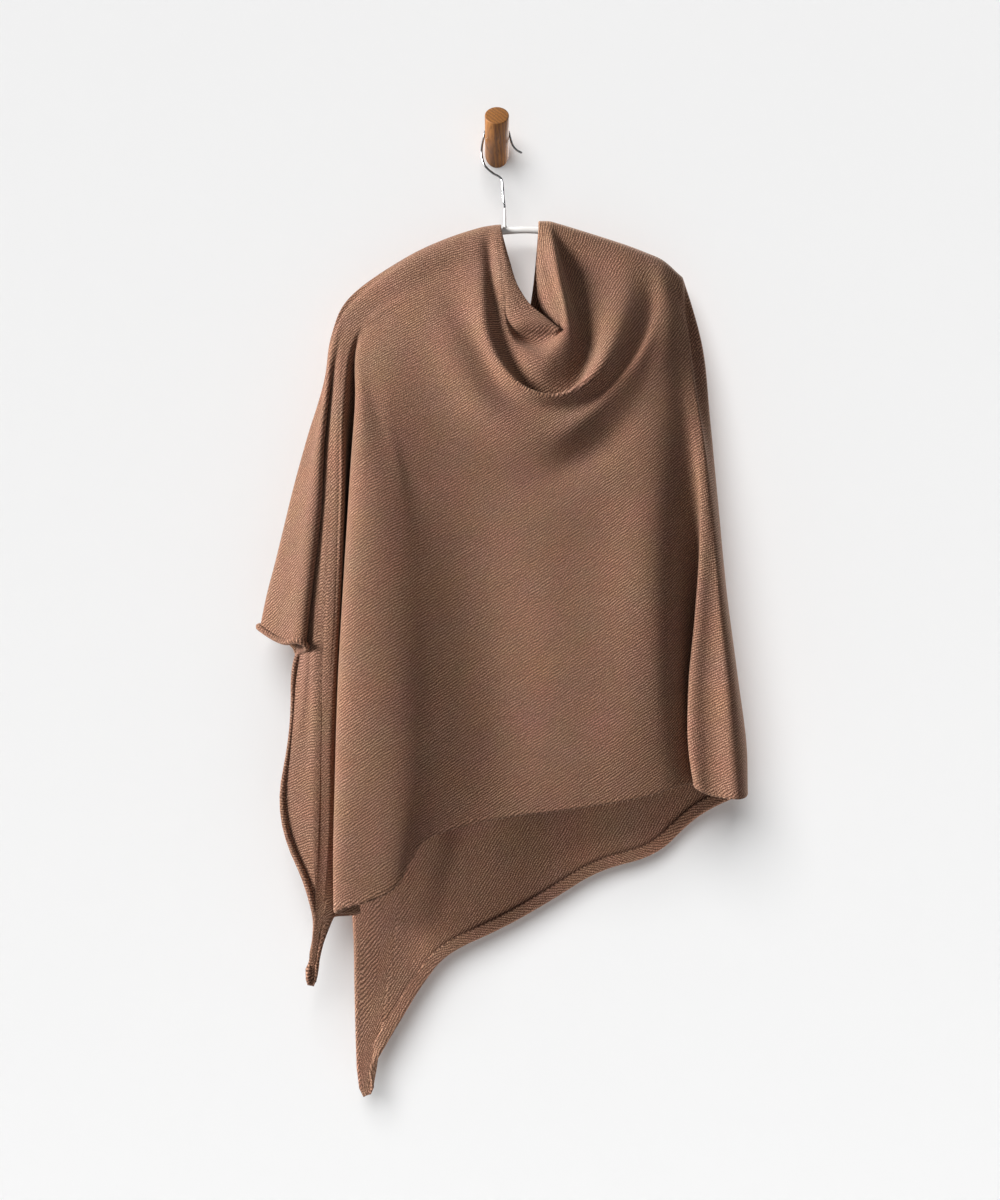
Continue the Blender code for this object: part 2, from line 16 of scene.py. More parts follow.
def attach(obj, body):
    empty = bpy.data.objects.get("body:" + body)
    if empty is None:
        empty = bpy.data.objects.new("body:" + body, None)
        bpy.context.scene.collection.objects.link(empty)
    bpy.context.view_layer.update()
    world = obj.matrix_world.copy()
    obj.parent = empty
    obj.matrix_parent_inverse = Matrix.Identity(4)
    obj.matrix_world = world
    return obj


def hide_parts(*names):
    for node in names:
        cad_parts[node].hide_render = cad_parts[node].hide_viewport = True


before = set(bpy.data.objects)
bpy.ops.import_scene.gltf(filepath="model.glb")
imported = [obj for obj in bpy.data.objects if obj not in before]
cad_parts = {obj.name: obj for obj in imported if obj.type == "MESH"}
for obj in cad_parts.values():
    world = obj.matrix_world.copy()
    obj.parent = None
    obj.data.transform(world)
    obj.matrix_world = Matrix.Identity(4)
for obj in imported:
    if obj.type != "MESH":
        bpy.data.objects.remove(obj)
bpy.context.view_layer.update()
MM = 0.001  # metres

# %% [markdown]
# ## The camera
#
# The photograph shows the wall almost square on. The peg's end shows above its side and the inside
# of the back hem shows below the front one, so the camera is level, about half way down the
# garment, 1.8 m from the wall. A 45 mm lens on a 36 mm sensor then gives 1.2 mm to a pixel at the
# wall. No shift is needed.

# %% Camera
CAMERA_X, CAMERA_Y, CAMERA_Z = 3.6, -1800.0, -535.0  # millimetres
LENS = 45
SENSOR = 36
PICTURE = (1000, 1200)  # pixels; the longer side takes the sensor's width

camera_data = bpy.data.cameras.new("camera")
camera_data.lens = LENS
camera_data.sensor_width = SENSOR
camera = bpy.data.objects.new("camera", camera_data)
camera.location = (CAMERA_X * MM, CAMERA_Y * MM, CAMERA_Z * MM)
camera.rotation_euler = (math.radians(90), 0, 0)
bpy.context.scene.collection.objects.link(camera)
bpy.context.scene.camera = camera
bpy.context.scene.view_settings.view_transform = "Standard"
print("camera at", tuple(camera.location))

# %% [markdown]
# ## Helpers for colours and materials
#
# Colours are picked as sRGB hex values, as they look on a screen, and turned to the linear values
# that a shader works with. A few short functions add the nodes that every material here uses, so
# that each material reads as a list of steps.

# %% Colour and node helpers
def linear(hex_colour):
    """An sRGB hex colour as the linear RGBA that shaders use."""
    channels = [int(hex_colour[i:i + 2], 16) / 255 for i in (1, 3, 5)]
    return tuple(c / 12.92 if c <= 0.04045 else ((c + 0.055) / 1.055) ** 2.4
                 for c in channels) + (1.0,)


def new_material(name):
    """An empty material and its Principled shader."""
    material = bpy.data.materials.new(name)
    material.use_nodes = True
    return material, material.node_tree.nodes["Principled BSDF"]


def fill_inputs(material, node, **inputs):
    """Give inputs a value or another node's socket; _0 is the first input."""
    for name, value in inputs.items():
        key = int(name[1:]) if name[1:].isdigit() else name.replace("_", " ")
        if isinstance(value, bpy.types.NodeSocket):
            material.node_tree.links.new(value, node.inputs[key])
        else:
            node.inputs[key].default_value = value


def add_node(material, kind, settings=None, **inputs):
    node = material.node_tree.nodes.new("ShaderNode" + kind)
    for name, value in (settings or {}).items():
        setattr(node, name, value)
    fill_inputs(material, node, **inputs)
    return node


def maths(material, operation, *values, kind="Math"):
    """The result of one calculation with numbers, vectors or sockets."""
    inputs = {f"_{i}": value for i, value in enumerate(values)}
    return add_node(material, kind, {"operation": operation}, **inputs).outputs[0]


def noise(material, place, scale, detail, roughness=0.5):
    return add_node(material, "TexNoise", Vector=place, Scale=scale, Detail=detail,
                    Roughness=roughness)


def two_tone(material, factor, dark, light):
    """A colour that goes from dark to light with a factor."""
    tone = add_node(material, "ValToRGB", Fac=factor)
    for element, colour in zip(tone.color_ramp.elements, (dark, light)):
        element.color = linear(colour)
    return tone.outputs["Color"]


def bump(material, height, strength, distance):
    return add_node(material, "Bump", Strength=strength, Distance=distance,
                    Height=height).outputs[0]


print("camel brown is", [round(c, 3) for c in linear("#96705A")])

# %% [markdown]
# ## The room
#
# A pale wall stands right behind the peg and a pale floor lies well below. Both are stage, not part
# of the object. The wall lets shadow rays and any look from behind through, so that the back of the
# garment can be lit and seen as well. The floor casts no shadow, because one lamp shines up from
# below it.

# %% Wall and floor
WALL_GAP = 0.0004  # metres behind the peg's foot
WALL_SIZE = 2.4
FLOOR_SIZE = 3.0


def stage_plane(name, size, place, turn, material):
    """A square plane, turned about x, that belongs to the stage."""
    plane = bmesh.new()
    bmesh.ops.create_grid(plane, x_segments=1, y_segments=1, size=size)
    bmesh.ops.rotate(plane, verts=plane.verts, matrix=Matrix.Rotation(turn, 3, "X"))
    bmesh.ops.translate(plane, verts=plane.verts, vec=place)
    mesh = bpy.data.meshes.new(name)
    plane.to_mesh(mesh)
    plane.free()
    mesh.materials.append(material)
    made = bpy.data.objects.new(name, mesh)
    bpy.context.scene.collection.objects.link(made)
    return made


wall_paint, wall_shader = new_material("wall_matt_emulsion")
fill_inputs(wall_paint, wall_shader, Base_Color=linear("#F4F4F4"), Roughness=0.9,
            Specular_IOR_Level=0.1)
seen_from = add_node(wall_paint, "NewGeometry")
ray = add_node(wall_paint, "LightPath")
through = maths(wall_paint, "MAXIMUM", seen_from.outputs["Backfacing"],
                ray.outputs["Is Shadow Ray"])
clear = add_node(wall_paint, "BsdfTransparent")
wall_mix = add_node(wall_paint, "MixShader", _0=through, _1=wall_shader.outputs[0],
                    _2=clear.outputs[0])
fill_inputs(wall_paint, wall_paint.node_tree.nodes["Material Output"],
            Surface=wall_mix.outputs[0])

floor_paint, floor_shader = new_material("floor_matt_paint")
fill_inputs(floor_paint, floor_shader, Base_Color=linear("#ECECEC"), Roughness=0.8)

wall = stage_plane("room_wall", WALL_SIZE, (0, WALL_GAP, -0.4), math.radians(90), wall_paint)
floor = stage_plane("room_floor", FLOOR_SIZE, (0, -1.5, -1.7), 0, floor_paint)
floor.visible_shadow = False
print("wall faces", wall.data.polygons[0].normal)

# %% [markdown]
# ## Light
#
# The photograph has studio light: a soft lamp from the left models every fold, and the shadow on
# the wall is short and soft, to the lower right. Soft suns do that, because a sun lights the whole
# wall evenly. The side lamp is kept off the wall and the wall's lamp off the garment, as a
# studio's flags do it. A weak lamp from below reaches only the back cloth, whose inside shows under
# the front hem. A pale world keeps the hollows from going black, and one lamp behind the wall
# serves the views from behind.

# %% Lamps and world
CENTRE = Vector((0, 0, -0.55))
LAMP_AWAY = 2.0
WORLD_STRENGTH = 0.22


def lit_group(name, *members):
    """A collection of what a lamp lights; nothing else gets its light."""
    group = bpy.data.collections.new(name)
    for member in members:
        group.objects.link(member)
    return group


def sun_from(name, left, up, strength, softness, only):
    """A soft sun from some degrees to the left and above, seen from the camera."""
    data = bpy.data.lights.new(name, "SUN")
    data.energy = strength
    data.angle = math.radians(softness)
    a, e = math.radians(left), math.radians(up)
    towards = Vector((-math.sin(a) * math.cos(e), -math.cos(a) * math.cos(e), math.sin(e)))
    lamp = bpy.data.objects.new(name, data)
    lamp.location = CENTRE + LAMP_AWAY * towards
    lamp.rotation_euler = towards.to_track_quat("Z", "Y").to_euler()
    bpy.context.scene.collection.objects.link(lamp)
    lamp.light_linking.receiver_collection = only


lit_pieces = lit_group("lit_from_the_side")
lit_inside = lit_group("lit_inside")
sun_from("side_lamp", 70, 18, 7.6, 22, lit_pieces)
sun_from("inside_lamp", -20, -35, 1.7, 60, lit_inside)
sun_from("wall_lamp", 20, 38, 3.0, 44, lit_group("lit_wall", wall))
sun_from("floor_lamp", 0, 70, 0.45, 40, lit_group("lit_floor", floor))
sun_from("behind_lamp", 205, 25, 2.6, 40, lit_pieces)
world = bpy.data.worlds.new("studio")
bpy.context.scene.world = world
world.use_nodes = True
fill_inputs(world, world.node_tree.nodes["Background"], Color=linear("#FFFFFF"),
            Strength=WORLD_STRENGTH)

# %% [markdown]
# ## How the cloth hangs, in tables
#
# The garment is one knitted cloth, folded at the right and sewn along the left shoulder. It could
# be simulated, but this photograph shows one particular fall of the folds, so the folds are listed
# one
# by one. Each table row is one fold: a row round the neck, or a line that runs down from the
# shoulder to the hem. Sections through all the folds give the cloth at each height. Sizes are in
# millimetres: x to the viewer's right, y into the wall, z up.

# %% The top line and the rows round the neck
RIDGE = [
    (-182, -198), (-171, -184), (-161, -173), (-147, -160), (-132, -148), (-115, -137),
    (-95, -126), (-75, -116.5), (-55, -108.5), (-35, -101.5), (-14, -96), (0, -94), (8, -94),
    (49, -90), (60, -90), (86, -96), (121, -107), (157, -120), (180, -129), (196, -136),
    (206, -144), (214.5, -155), (221, -171),
]

# name, x on the left shoulder, x on the right shoulder, drop on the back, point at the V's tip
# (0 if none), points over the front
NECK_ROWS = [
    ("edge", 4, 50, 134, 6, [
        (14, -62, -142), (25, -74, -177), (37, -80, -196), (52, -86, -210), (66, -91, -222),
        (73, -92, -227), (62, -76, -214), (52, -67, -198), (47, -56, -163), (48, -45, -126)]),
    ("lip", 3, 52, 138, 7, [
        (11, -64, -143), (15, -75, -179), (14, -83, -208), (24, -89, -219), (42, -93, -220),
        (60, -96, -221), (73, -95, -228), (68, -84, -214), (61, -76, -190), (54, -65, -160),
        (50, -49, -127)]),
    ("pocket", 1, 54, 142, 7, [
        (8, -64, -143), (11, -74, -180), (13, -75, -213), (24, -70, -228), (40, -68, -236),
        (56, -72, -236), (70, -84, -230), (72, -85, -214), (66, -76, -184), (55, -52, -129)]),
    ("rim", -1, 56, 146, 8, [
        (6, -63, -143), (9, -74, -184), (12, -80, -220), (22, -85, -239), (38, -90, -249),
        (54, -92, -250), (68, -93, -240), (76, -92, -226), (76, -88, -206), (69, -78, -170),
        (59, -55, -125)]),
    ("first ridge", -3, 60, 151, 8, [
        (3, -63, -143), (7, -74, -185), (12, -81, -227), (23, -87, -248), (36, -94, -257),
        (52, -98, -261), (69, -97, -249), (80, -95, -228), (77, -91, -201), (70, -80, -163),
        (64, -59, -121)]),
    ("first valley", -9, 69, 165, 0, [
        (-5, -56, -142), (-1, -70, -189), (9, -81, -238), (25, -87, -272), (41, -90, -290),
        (56, -91, -294), (75, -90, -290), (89, -87, -275), (96, -81, -243), (88, -70, -195),
        (75, -51, -139)]),
    ("second ridge", -26, 150, 190, 0, [
        (-22, -60, -146), (-19, -80, -191), (-14, -91, -229), (1, -99, -264), (22, -105, -289),
        (43, -108, -301), (66, -108, -304), (91, -107, -296), (113, -103, -277),
        (129, -96, -251), (142, -85, -217), (154, -62, -170)]),
    ("second valley", -52, 176, 205, 0, [
        (-49, -56, -151), (-47, -67, -189), (-33, -77, -225), (-16, -84, -258), (4, -90, -293),
        (27, -94, -312), (52, -96, -319), (79, -96, -319), (112, -93, -305), (140, -88, -278),
        (164, -78, -243), (178, -59, -188)]),
    ("third ridge", -78, 194, 215, 0, [
        (-73, -56, -163), (-67, -70, -206), (-50, -84, -249), (-29, -94, -294), (-2, -100, -325),
        (27, -103, -339), (56, -105, -346), (84, -105, -341), (108, -100, -323),
        (134, -94.5, -295), (168, -85, -250), (190, -62, -192)]),
    ("third valley", -103, 210, 225, 0, [
        (-99, -56, -175), (-89, -70, -229), (-59, -84, -295), (-19, -92, -345),
        (21, -94, -368), (60, -93, -380), (97, -90, -366), (133, -89.5, -334), (166, -85, -286),
        (195, -73, -223), (208, -53, -185)]),
]

# %% The folds of the front
# name, half the width of the folded edge (0 where the cloth curves softly), columns at each of
# its bends (times FINER below), points downward
FRONT_FOLDS = [
    ("sleeve outline", 0, 3, [
        (-171, -34, -184), (-179, -37, -198), (-186, -40, -222), (-188, -42, -242),
        (-191, -45, -271), (-197, -47, -294), (-205, -49, -323), (-217, -51, -368),
        (-234, -53, -431), (-247, -54, -479), (-260, -55, -522), (-271, -56, -566)]),
    ("sleeve front", 0, 2, [
        (-172, -40, -189), (-184, -46, -210), (-192, -52, -244), (-196, -58, -280),
        (-208, -64, -338), (-223, -70, -408), (-233, -74, -477), (-242, -76, -535),
        (-247, -76, -579)]),
    ("sleeve fold", 7, 3, [
        (-173, -44, -194), (-186, -51, -227), (-193, -58, -263), (-197, -67, -304),
        (-203, -77, -371), (-205, -83, -433), (-210, -86, -480), (-215, -88, -522),
        (-221, -89, -583)]),
    ("behind the sleeve", 5, 3, [
        (-172, -46, -199), (-181, -52, -230), (-187, -56, -262), (-197, -59, -304),
        (-208, -62, -385), (-217, -66, -466), (-225, -68, -535), (-231, -69, -597)]),
    ("open edge 1", 0, 2, [
        (-171, -47, -204), (-176, -51.5, -222), (-181, -56.5, -250), (-190, -62, -304),
        (-202, -72, -420), (-214, -79, -560), (-226, -74, -645), (-237, -69, -690)]),
    ("open edge 2", 0, 2, [
        (-170, -48, -208), (-174, -52.5, -228), (-178, -57.5, -250), (-187, -65, -304),
        (-197, -76, -420), (-207, -84, -560), (-215, -79, -650), (-230, -72, -745),
        (-241, -67, -785)]),
    ("open edge 3", 0, 2, [
        (-169, -49, -213), (-172, -53.5, -232), (-175, -58.5, -250), (-184, -67, -304),
        (-192, -79, -420), (-201, -86, -560), (-206, -82, -660), (-213, -77, -770),
        (-213.5, -73, -872)]),
    ("open edge 4", 0, 1, [
        (-168, -49.5, -216), (-172, -55.5, -242), (-182, -68, -304), (-187, -80.5, -420),
        (-195.5, -86.5, -560), (-201, -82.5, -660), (-205, -77, -790), (-211, -73, -927)]),
    ("front corner", 4, 1, [
        (-167, -50, -218), (-172, -57.5, -250), (-180.5, -68.5, -304), (-183, -81.5, -420),
        (-190, -87, -560), (-196, -83, -655), (-200, -76, -790), (-205, -73, -905),
        (-213.5, -72, -978)]),
    ("tab side", 0, 1, [
        (-166, -50.5, -220), (-171, -58.3, -252), (-179, -69, -306), (-179, -82, -425),
        (-185.5, -86.5, -560), (-193, -81, -700), (-194, -74, -830), (-205.5, -72, -943)]),
    ("second layer", 3, 2, [
        (-165, -51, -222), (-169, -59, -253), (-178, -69, -308), (-178, -80, -400),
        (-181, -85, -500), (-184.5, -85, -577), (-190, -79, -692), (-190.5, -73, -790),
        (-189, -70, -899)]),
    ("behind the front", 6, 2, [
        (-162, -52, -227), (-161, -53, -256), (-163, -44, -313), (-173, -39, -418),
        (-174, -40, -535), (-176, -43, -699), (-164, -56, -898)]),
    ("front fold", 7, 2, [
        (-157, -55, -233), (-157, -67, -263), (-157, -77, -305), (-161, -85, -384),
        (-162, -88, -422), (-167, -93, -500), (-172, -97, -577), (-178, -102, -691),
        (-180, -104, -750), (-183, -107, -828), (-183, -107, -885)]),
    ("front 1", 0, 2, [
        (-145, -68, -262), (-141, -79, -305), (-137, -89, -364), (-139, -103, -535),
        (-145, -111, -704), (-147, -114, -872)]),
    ("front 2", 0, 2, [
        (-124, -83, -312), (-109, -97, -444), (-107, -106, -591), (-109, -112, -738),
        (-116, -112, -855)]),
    ("front 3", 0, 2, [
        (-105, -87, -358), (-83, -99, -490), (-78, -104, -625), (-82, -107, -738),
        (-95, -105, -822)]),
    ("front 4", 0, 2, [
        (-66, -92, -394), (-46, -99, -524), (-42, -101, -648), (-51, -101, -739),
        (-63, -98, -798)]),
    ("front 5", 0, 2, [
        (-13, -95, -424), (9, -98, -580), (12, -95, -694), (7, -91, -782)]),
    ("front 6", 0, 2, [
        (43, -97, -436), (72, -98, -592), (79, -93, -694), (81, -88, -772)]),
    ("front 7", 0, 2, [
        (104, -96, -412), (140, -97, -580), (155, -91, -695), (160, -86, -759)]),
    ("front 8", 0, 2, [
        (158, -92, -360), (190, -96, -535), (200, -89, -649), (208, -79, -747)]),
    ("right valley", 6, 2, [
        (197, -83, -302), (220, -83, -397), (232, -71, -535), (236, -61, -651),
        (243, -57, -746)]),
    ("right fold", 6, 2, [
        (212, -70, -252), (230, -86, -363), (232, -91, -467), (227, -94, -538), (221, -94, -598),
        (218, -93, -648), (218, -92, -694), (226, -90, -747)]),
    ("right side", 0, 2, [
        (220, -57, -222), (238, -83, -362), (244, -93.5, -535), (244, -95.5, -649),
        (250, -94, -756)]),
    ("right turn", 0, 2, [
        (221, -46, -206), (243, -73, -362), (257, -88, -535), (268, -95.8, -649),
        (277, -95, -758)]),
    ("right outline", 0, 3, [
        (221, -34, -171), (230.5, -38, -206), (236, -40, -228), (240, -42, -267), (245, -45, -321),
        (250, -48, -377), (253, -50, -418), (262, -53, -522), (272, -54, -609), (278, -55, -656),
        (285, -55, -719), (285, -55, -760)]),
]

# %% The edges of the back
# where its folds end on the slanting hem, right to left
BACK_HEM = [
    (257, -30, -776), (225, -22, -799), (183, -20, -832), (122, -20, -855), (64, -21, -887),
    (4, -24, -920), (-55, -28, -950), (-87, -31, -982), (-110, -33, -1018), (-141, -35.4, -1076),
]

# x on the yoke and the point on the open edge, from the low corner up to the sleeve's hem
BACK_OPEN_EDGE = [
    (-97, (-147, -36, -1107)), (-105, (-158, -37, -1103)), (-113, (-162, -37.6, -1015)),
    (-124, (-163, -38, -935)),
    (-135, (-170, -37, -860)), (-145, (-189, -33, -765)), (-153, (-212, -31, -682)),
    (-160, (-229, -39, -606)), (-166, (-249, -46, -577)),
]

WALL = 2.4  # the doubled knit of a fine jersey with its fuzz
HANGER_Y = -34.0  # the hanger's bar, and the cloth's top line over it
BACK_Y = -21.0  # where the back hangs behind the neck
BACK_WAVE = 2.5  # how far the back's folds go in and out
BACK_YOKE_RIGHT = 214.0  # between these two the folds of the hem start on the yoke
BACK_YOKE_LEFT = -84.0
BACK_EDGE_HOOK = 3.0  # how late the folds at the open edge turn aside
YOKE_DROP = 250.0  # of the first section that goes all round
TIP_SHARE = 0.6  # of the front's columns, those left of the V's tip
LEVELS = [0.0, 0.12, 0.27, 0.43, 0.6, 0.78, 0.92, 1.0]  # of each fold's length
print(len(NECK_ROWS), "rows round the neck,", len(FRONT_FOLDS), "front folds")

# %% [markdown]
# ## Smooth curves through the folds
#
# A fold is a few points, so a curve has to pass through them without overshooting. A cubic whose
# slope at each point is the average of its neighbours does that, and it can be read at any place.

# %% Curve helpers
def lengths(line):
    """Distance along a line of points, at each point."""
    steps = np.linalg.norm(np.diff(line, axis=0), axis=1)
    return np.concatenate([[0.0], np.cumsum(steps)])


def through_points(points, at, knots=None):
    """A smooth curve through points (first axis), read at places measured in knots."""
    points = np.asarray(points, float)
    knots = lengths(points) if knots is None else knots
    steps = np.diff(knots)
    shape = (-1,) + (1,) * (points.ndim - 1)
    slopes = np.diff(points, axis=0) / steps.reshape(shape)
    before, after = steps[:-1].reshape(shape), steps[1:].reshape(shape)
    tangents = np.concatenate([
        slopes[:1], (slopes[:-1] * after + slopes[1:] * before) / (before + after), slopes[-1:]])
    at = np.asarray(at, float)
    i = np.clip(np.searchsorted(knots, at, side="right") - 1, 0, len(steps) - 1)
    step = steps[i].reshape(shape)
    u = ((at - knots[i]) / steps[i]).reshape(shape)
    return (points[i] * (2 * u**3 - 3 * u**2 + 1) + tangents[i] * step * (u**3 - 2 * u**2 + u)
            + points[i + 1] * (3 * u**2 - 2 * u**3) + tangents[i + 1] * step * (u**3 - u**2))


def at_fractions(points, fractions):
    """Points of the smooth curve at fractions of its length."""
    points = np.asarray(points, float)
    samples = 12 * len(points)
    fine = through_points(points, np.linspace(0, lengths(points)[-1], samples))
    along = lengths(fine)
    wanted = np.asarray(fractions) * along[-1]
    return np.stack([np.interp(wanted, along, fine[:, k]) for k in range(3)], axis=1)


def unit(vectors):
    return vectors / np.maximum(np.linalg.norm(vectors, axis=-1, keepdims=True), 1e-9)


def ridge_z(x):
    """Height of the cloth's top line at x."""
    line = np.array(RIDGE, float)
    return float(np.interp(x, line[:, 0], line[:, 1]))


print("shoulder height at the neck", ridge_z(8))

# %% [markdown]
# ## Sections through the cloth
#
# Round the neck each section is a table row, closed over the back as a soft U. Below it each
# section joins one point of every fold. A soft fold is one rounded corner there. A folded edge is
# two corners set apart, so that the knit turns round a real bend and never through itself.

# %% Sections
SHOULDER = ((8, 4), (7, 5))  # out and down of the first point off the bar, in front and behind
CORNER_ROOM = 0.3  # of the way to the next fold, the most that half a folded edge may take
SOFT_ROUNDS = 6


def front_row(left_x, right_x, points):
    left, right = ridge_z(left_x), ridge_z(right_x)
    out, down = SHOULDER[0]
    return ([(left_x, HANGER_Y, left), (left_x, HANGER_Y - out, left - down)] + points
            + [(right_x, HANGER_Y - out, right - down), (right_x, HANGER_Y, right)])


def back_row(left_x, right_x, drop):
    left, right = ridge_z(left_x), ridge_z(right_x)
    out, down = SHOULDER[1]
    row = [(right_x, HANGER_Y, right), (right_x, HANGER_Y + out, right - down)]
    for s in (0.08, 0.2, 0.35, 0.5, 0.65, 0.8, 0.92):
        hang = math.sin(math.pi * s) ** 0.75
        row.append((right_x + (left_x - right_x) * s, BACK_Y,
                    right + (left - right) * s - drop * hang))
    return row + [(left_x, HANGER_Y + out, left - down), (left_x, HANGER_Y, left)]


def rounded_section(line, widths, counts):
    """A closed section through the fold points, with rounded corners."""
    before, after = np.roll(line, 1, axis=0) - line, np.roll(line, -1, axis=0) - line
    room = CORNER_ROOM * np.minimum(np.linalg.norm(before, axis=1), np.linalg.norm(after, axis=1))
    half = np.minimum(widths, room)[:, None] * unit(unit(before) - unit(after))
    first, second = line + half, line - half
    soft = np.asarray(widths) == 0
    for _ in range(SOFT_ROUNDS):
        pull = np.roll(second, 1, axis=0) + np.roll(first, -1, axis=0) - 2 * line
        bend = line - pull / 4
        first[soft], second[soft] = bend[soft], bend[soft]
    corners, at_corner = [], []
    for i, is_soft in enumerate(soft):
        corners += [first[i]] if is_soft else [first[i], second[i]]
        at_corner += [counts[i]] * (1 if is_soft else 2)
    corners = np.array(corners)
    enter = (corners + np.roll(corners, 1, axis=0)) / 2
    leave = (corners + np.roll(corners, -1, axis=0)) / 2
    section = []
    for i, corner in enumerate(corners):
        u = (np.arange(at_corner[i])[:, None] + 0.5) / at_corner[i]
        section.append((1 - u) ** 2 * enter[i] + 2 * u * (1 - u) * corner + u**2 * leave[i])
    return np.concatenate(section)


def back_folds():
    """Fold lines of the back, from its yoke to the slanting hem, then to the open edge."""
    yoke = at_fractions(back_row(RIDGE[1][0], RIDGE[-1][0], YOKE_DROP), np.linspace(0, 1, 80))
    yoke = yoke[::-1]
    step = (BACK_YOKE_LEFT - BACK_YOKE_RIGHT) / (len(BACK_HEM) - 1)
    ends = [(BACK_YOKE_RIGHT + step * i, foot, 2) for i, foot in enumerate(BACK_HEM)]
    ends += [(x, foot, 1) for x, foot in BACK_OPEN_EDGE]
    folds = []
    for i, (x, foot, count) in enumerate(ends):
        hook = float(np.interp(i, [3, len(BACK_HEM)], [1, BACK_EDGE_HOOK]))
        top = [np.interp(x, yoke[:, 0], yoke[:, k]) for k in range(3)]
        line = []
        for v in np.linspace(0, 1, 7):
            wave = -BACK_WAVE * math.sin(math.pi * v) * math.cos(1.9 * i) * (count > 1)
            line.append((top[0] + (foot[0] - top[0]) * v**hook,
                         top[1] + (foot[1] - top[1]) * v + wave,
                         top[2] + (foot[2] - top[2]) * v))
        folds.append(("back", 0, count, line))
    return folds


print(len(back_folds()), "back folds")

# %% [markdown]
# ## From sections to a fine grid
#
# The sections are sampled three times as finely as the solids' were, and rows are filled in
# between them every few millimetres, closer together round the neck where the cowl's folds are.

# %% The garment's grid
FINER = 3  # columns for each column of the solids; odd, so that the middles stay
NECK_STEP = 3.4  # millimetres between rows round the neck
BODY_STEP = 5.0
EVEN_SHARE = 0.55  # how far the topmost row's points are spread evenly

folds = FRONT_FOLDS + back_folds()
widths = np.array([fold[1] for fold in folds])
counts = [fold[2] * FINER for fold in folds]
lines = np.array([at_fractions(fold[3], LEVELS) for fold in folds])
body_sections = [rounded_section(lines[:, k], widths, counts) for k in range(len(LEVELS))]

bends = [2 if width else 1 for width in widths]
start = counts[0] // 2
last_front = (sum(bends[i] * counts[i] for i in range(len(FRONT_FOLDS) - 1))
              + counts[len(FRONT_FOLDS) - 1] // 2)
columns = len(body_sections[0])
front_index = np.arange(start, last_front + 1)
back_index = np.arange(last_front, columns + start + 1)
along_body = lengths(np.vstack([body_sections[0], body_sections[0][:1]]))


def neck_section(place, left_x, right_x, drop, tip, points):
    """A row round the neck, its points spread as those of the first section below it."""
    even_share = EVEN_SHARE * (1 - place / len(NECK_ROWS))
    row = np.zeros((columns, 3))
    for index, line in ((front_index, front_row(left_x, right_x, points)),
                        (back_index, back_row(left_x, right_x, drop))):
        along = along_body[index % columns] + (index >= columns) * along_body[-1]
        f = (along - along[0]) / (along[-1] - along[0])
        f = (1 - even_share) * f + even_share * np.linspace(0, 1, len(index))
        if tip and index is front_index:
            so_far = lengths(np.array(line, float))
            f = np.interp(f, [0, TIP_SHARE, 1], [0, so_far[tip + 1] / so_far[-1], 1])
        row[index % columns] = at_fractions(line, f)
    return row


sections = np.array([neck_section(k, *row[1:]) for k, row in enumerate(NECK_ROWS)]
                    + body_sections)
section_gaps = np.linalg.norm(np.diff(sections, axis=0), axis=2).mean(axis=1)
section_knots = np.concatenate([[0.0], np.cumsum(section_gaps)])
row_places = [0.0]
for k, gap in enumerate(section_gaps):
    rows_here = max(2, round(gap / (NECK_STEP if k < len(NECK_ROWS) else BODY_STEP)))
    row_places += list(section_knots[k] + gap * np.arange(1, rows_here + 1) / rows_here)
row_places = np.array(row_places)
cloth = through_points(sections, row_places, section_knots)
FIRST_BODY_ROW = int(np.searchsorted(row_places, section_knots[len(NECK_ROWS)] - 1e-6))
print("grid of", cloth.shape[0], "rows and", cloth.shape[1], "columns, of which",
      len(front_index), "in front")

# %% [markdown]
# ## Soft troughs and ridges
#
# Between the folds the jersey is never flat. Gravity and the weight of the low corner pull it into
# long shallow troughs. Each is a line on the cloth with a width and a depth, and pushes the cloth
# in or out along a bell curve, fading at both its ends.

# %% Creases
def even_along(grid, times):
    """Take small kinks out along the folds, row by row, without touching the edges."""
    for _ in range(times):
        grid[1:-1] += (grid[2:] + grid[:-2] - 2 * grid[1:-1]) / 4


def even_patch(grid, index, middle_row, half, times):
    """Smooth a band of rows both ways, most at its middle row."""
    part = grid[:, index % columns]
    share = np.exp(-((np.arange(len(grid)) - middle_row) / half) ** 2)[1:-1, None, None] / 8
    for _ in range(times):
        inner = part[1:-1, 1:-1]
        part[1:-1, 1:-1] = inner + share * (part[2:, 1:-1] + part[:-2, 1:-1] + part[1:-1, 2:]
                                            + part[1:-1, :-2] - 4 * inner)
    grid[:, index % columns] = part


def from_photo(px, py, y):
    """The point of the cloth at depth y that the camera sees at a pixel of the photograph."""
    scale = (y - CAMERA_Y) * SENSOR / (LENS * PICTURE[1])  # millimetres to a pixel
    return CAMERA_X + (px - PICTURE[0] / 2) * scale, CAMERA_Z + (PICTURE[1] / 2 - py) * scale


# how far it comes forward (millimetres, minus is a trough), its half width, its pixels
FRONT_CREASES = [
    (8.0, 62, [(366, 300), (370, 420), (372, 560), (374, 700), (376, 840)]),
    (-9.0, 66, [(462, 470), (468, 560), (478, 620), (484, 680), (488, 740), (494, 810)]),
    (6.5, 42, [(655, 400), (650, 500), (640, 560), (636, 640), (634, 720), (630, 800)]),
    (-6.0, 20, [(688, 330), (690, 430), (686, 520), (684, 620), (680, 700), (680, 770)]),
]

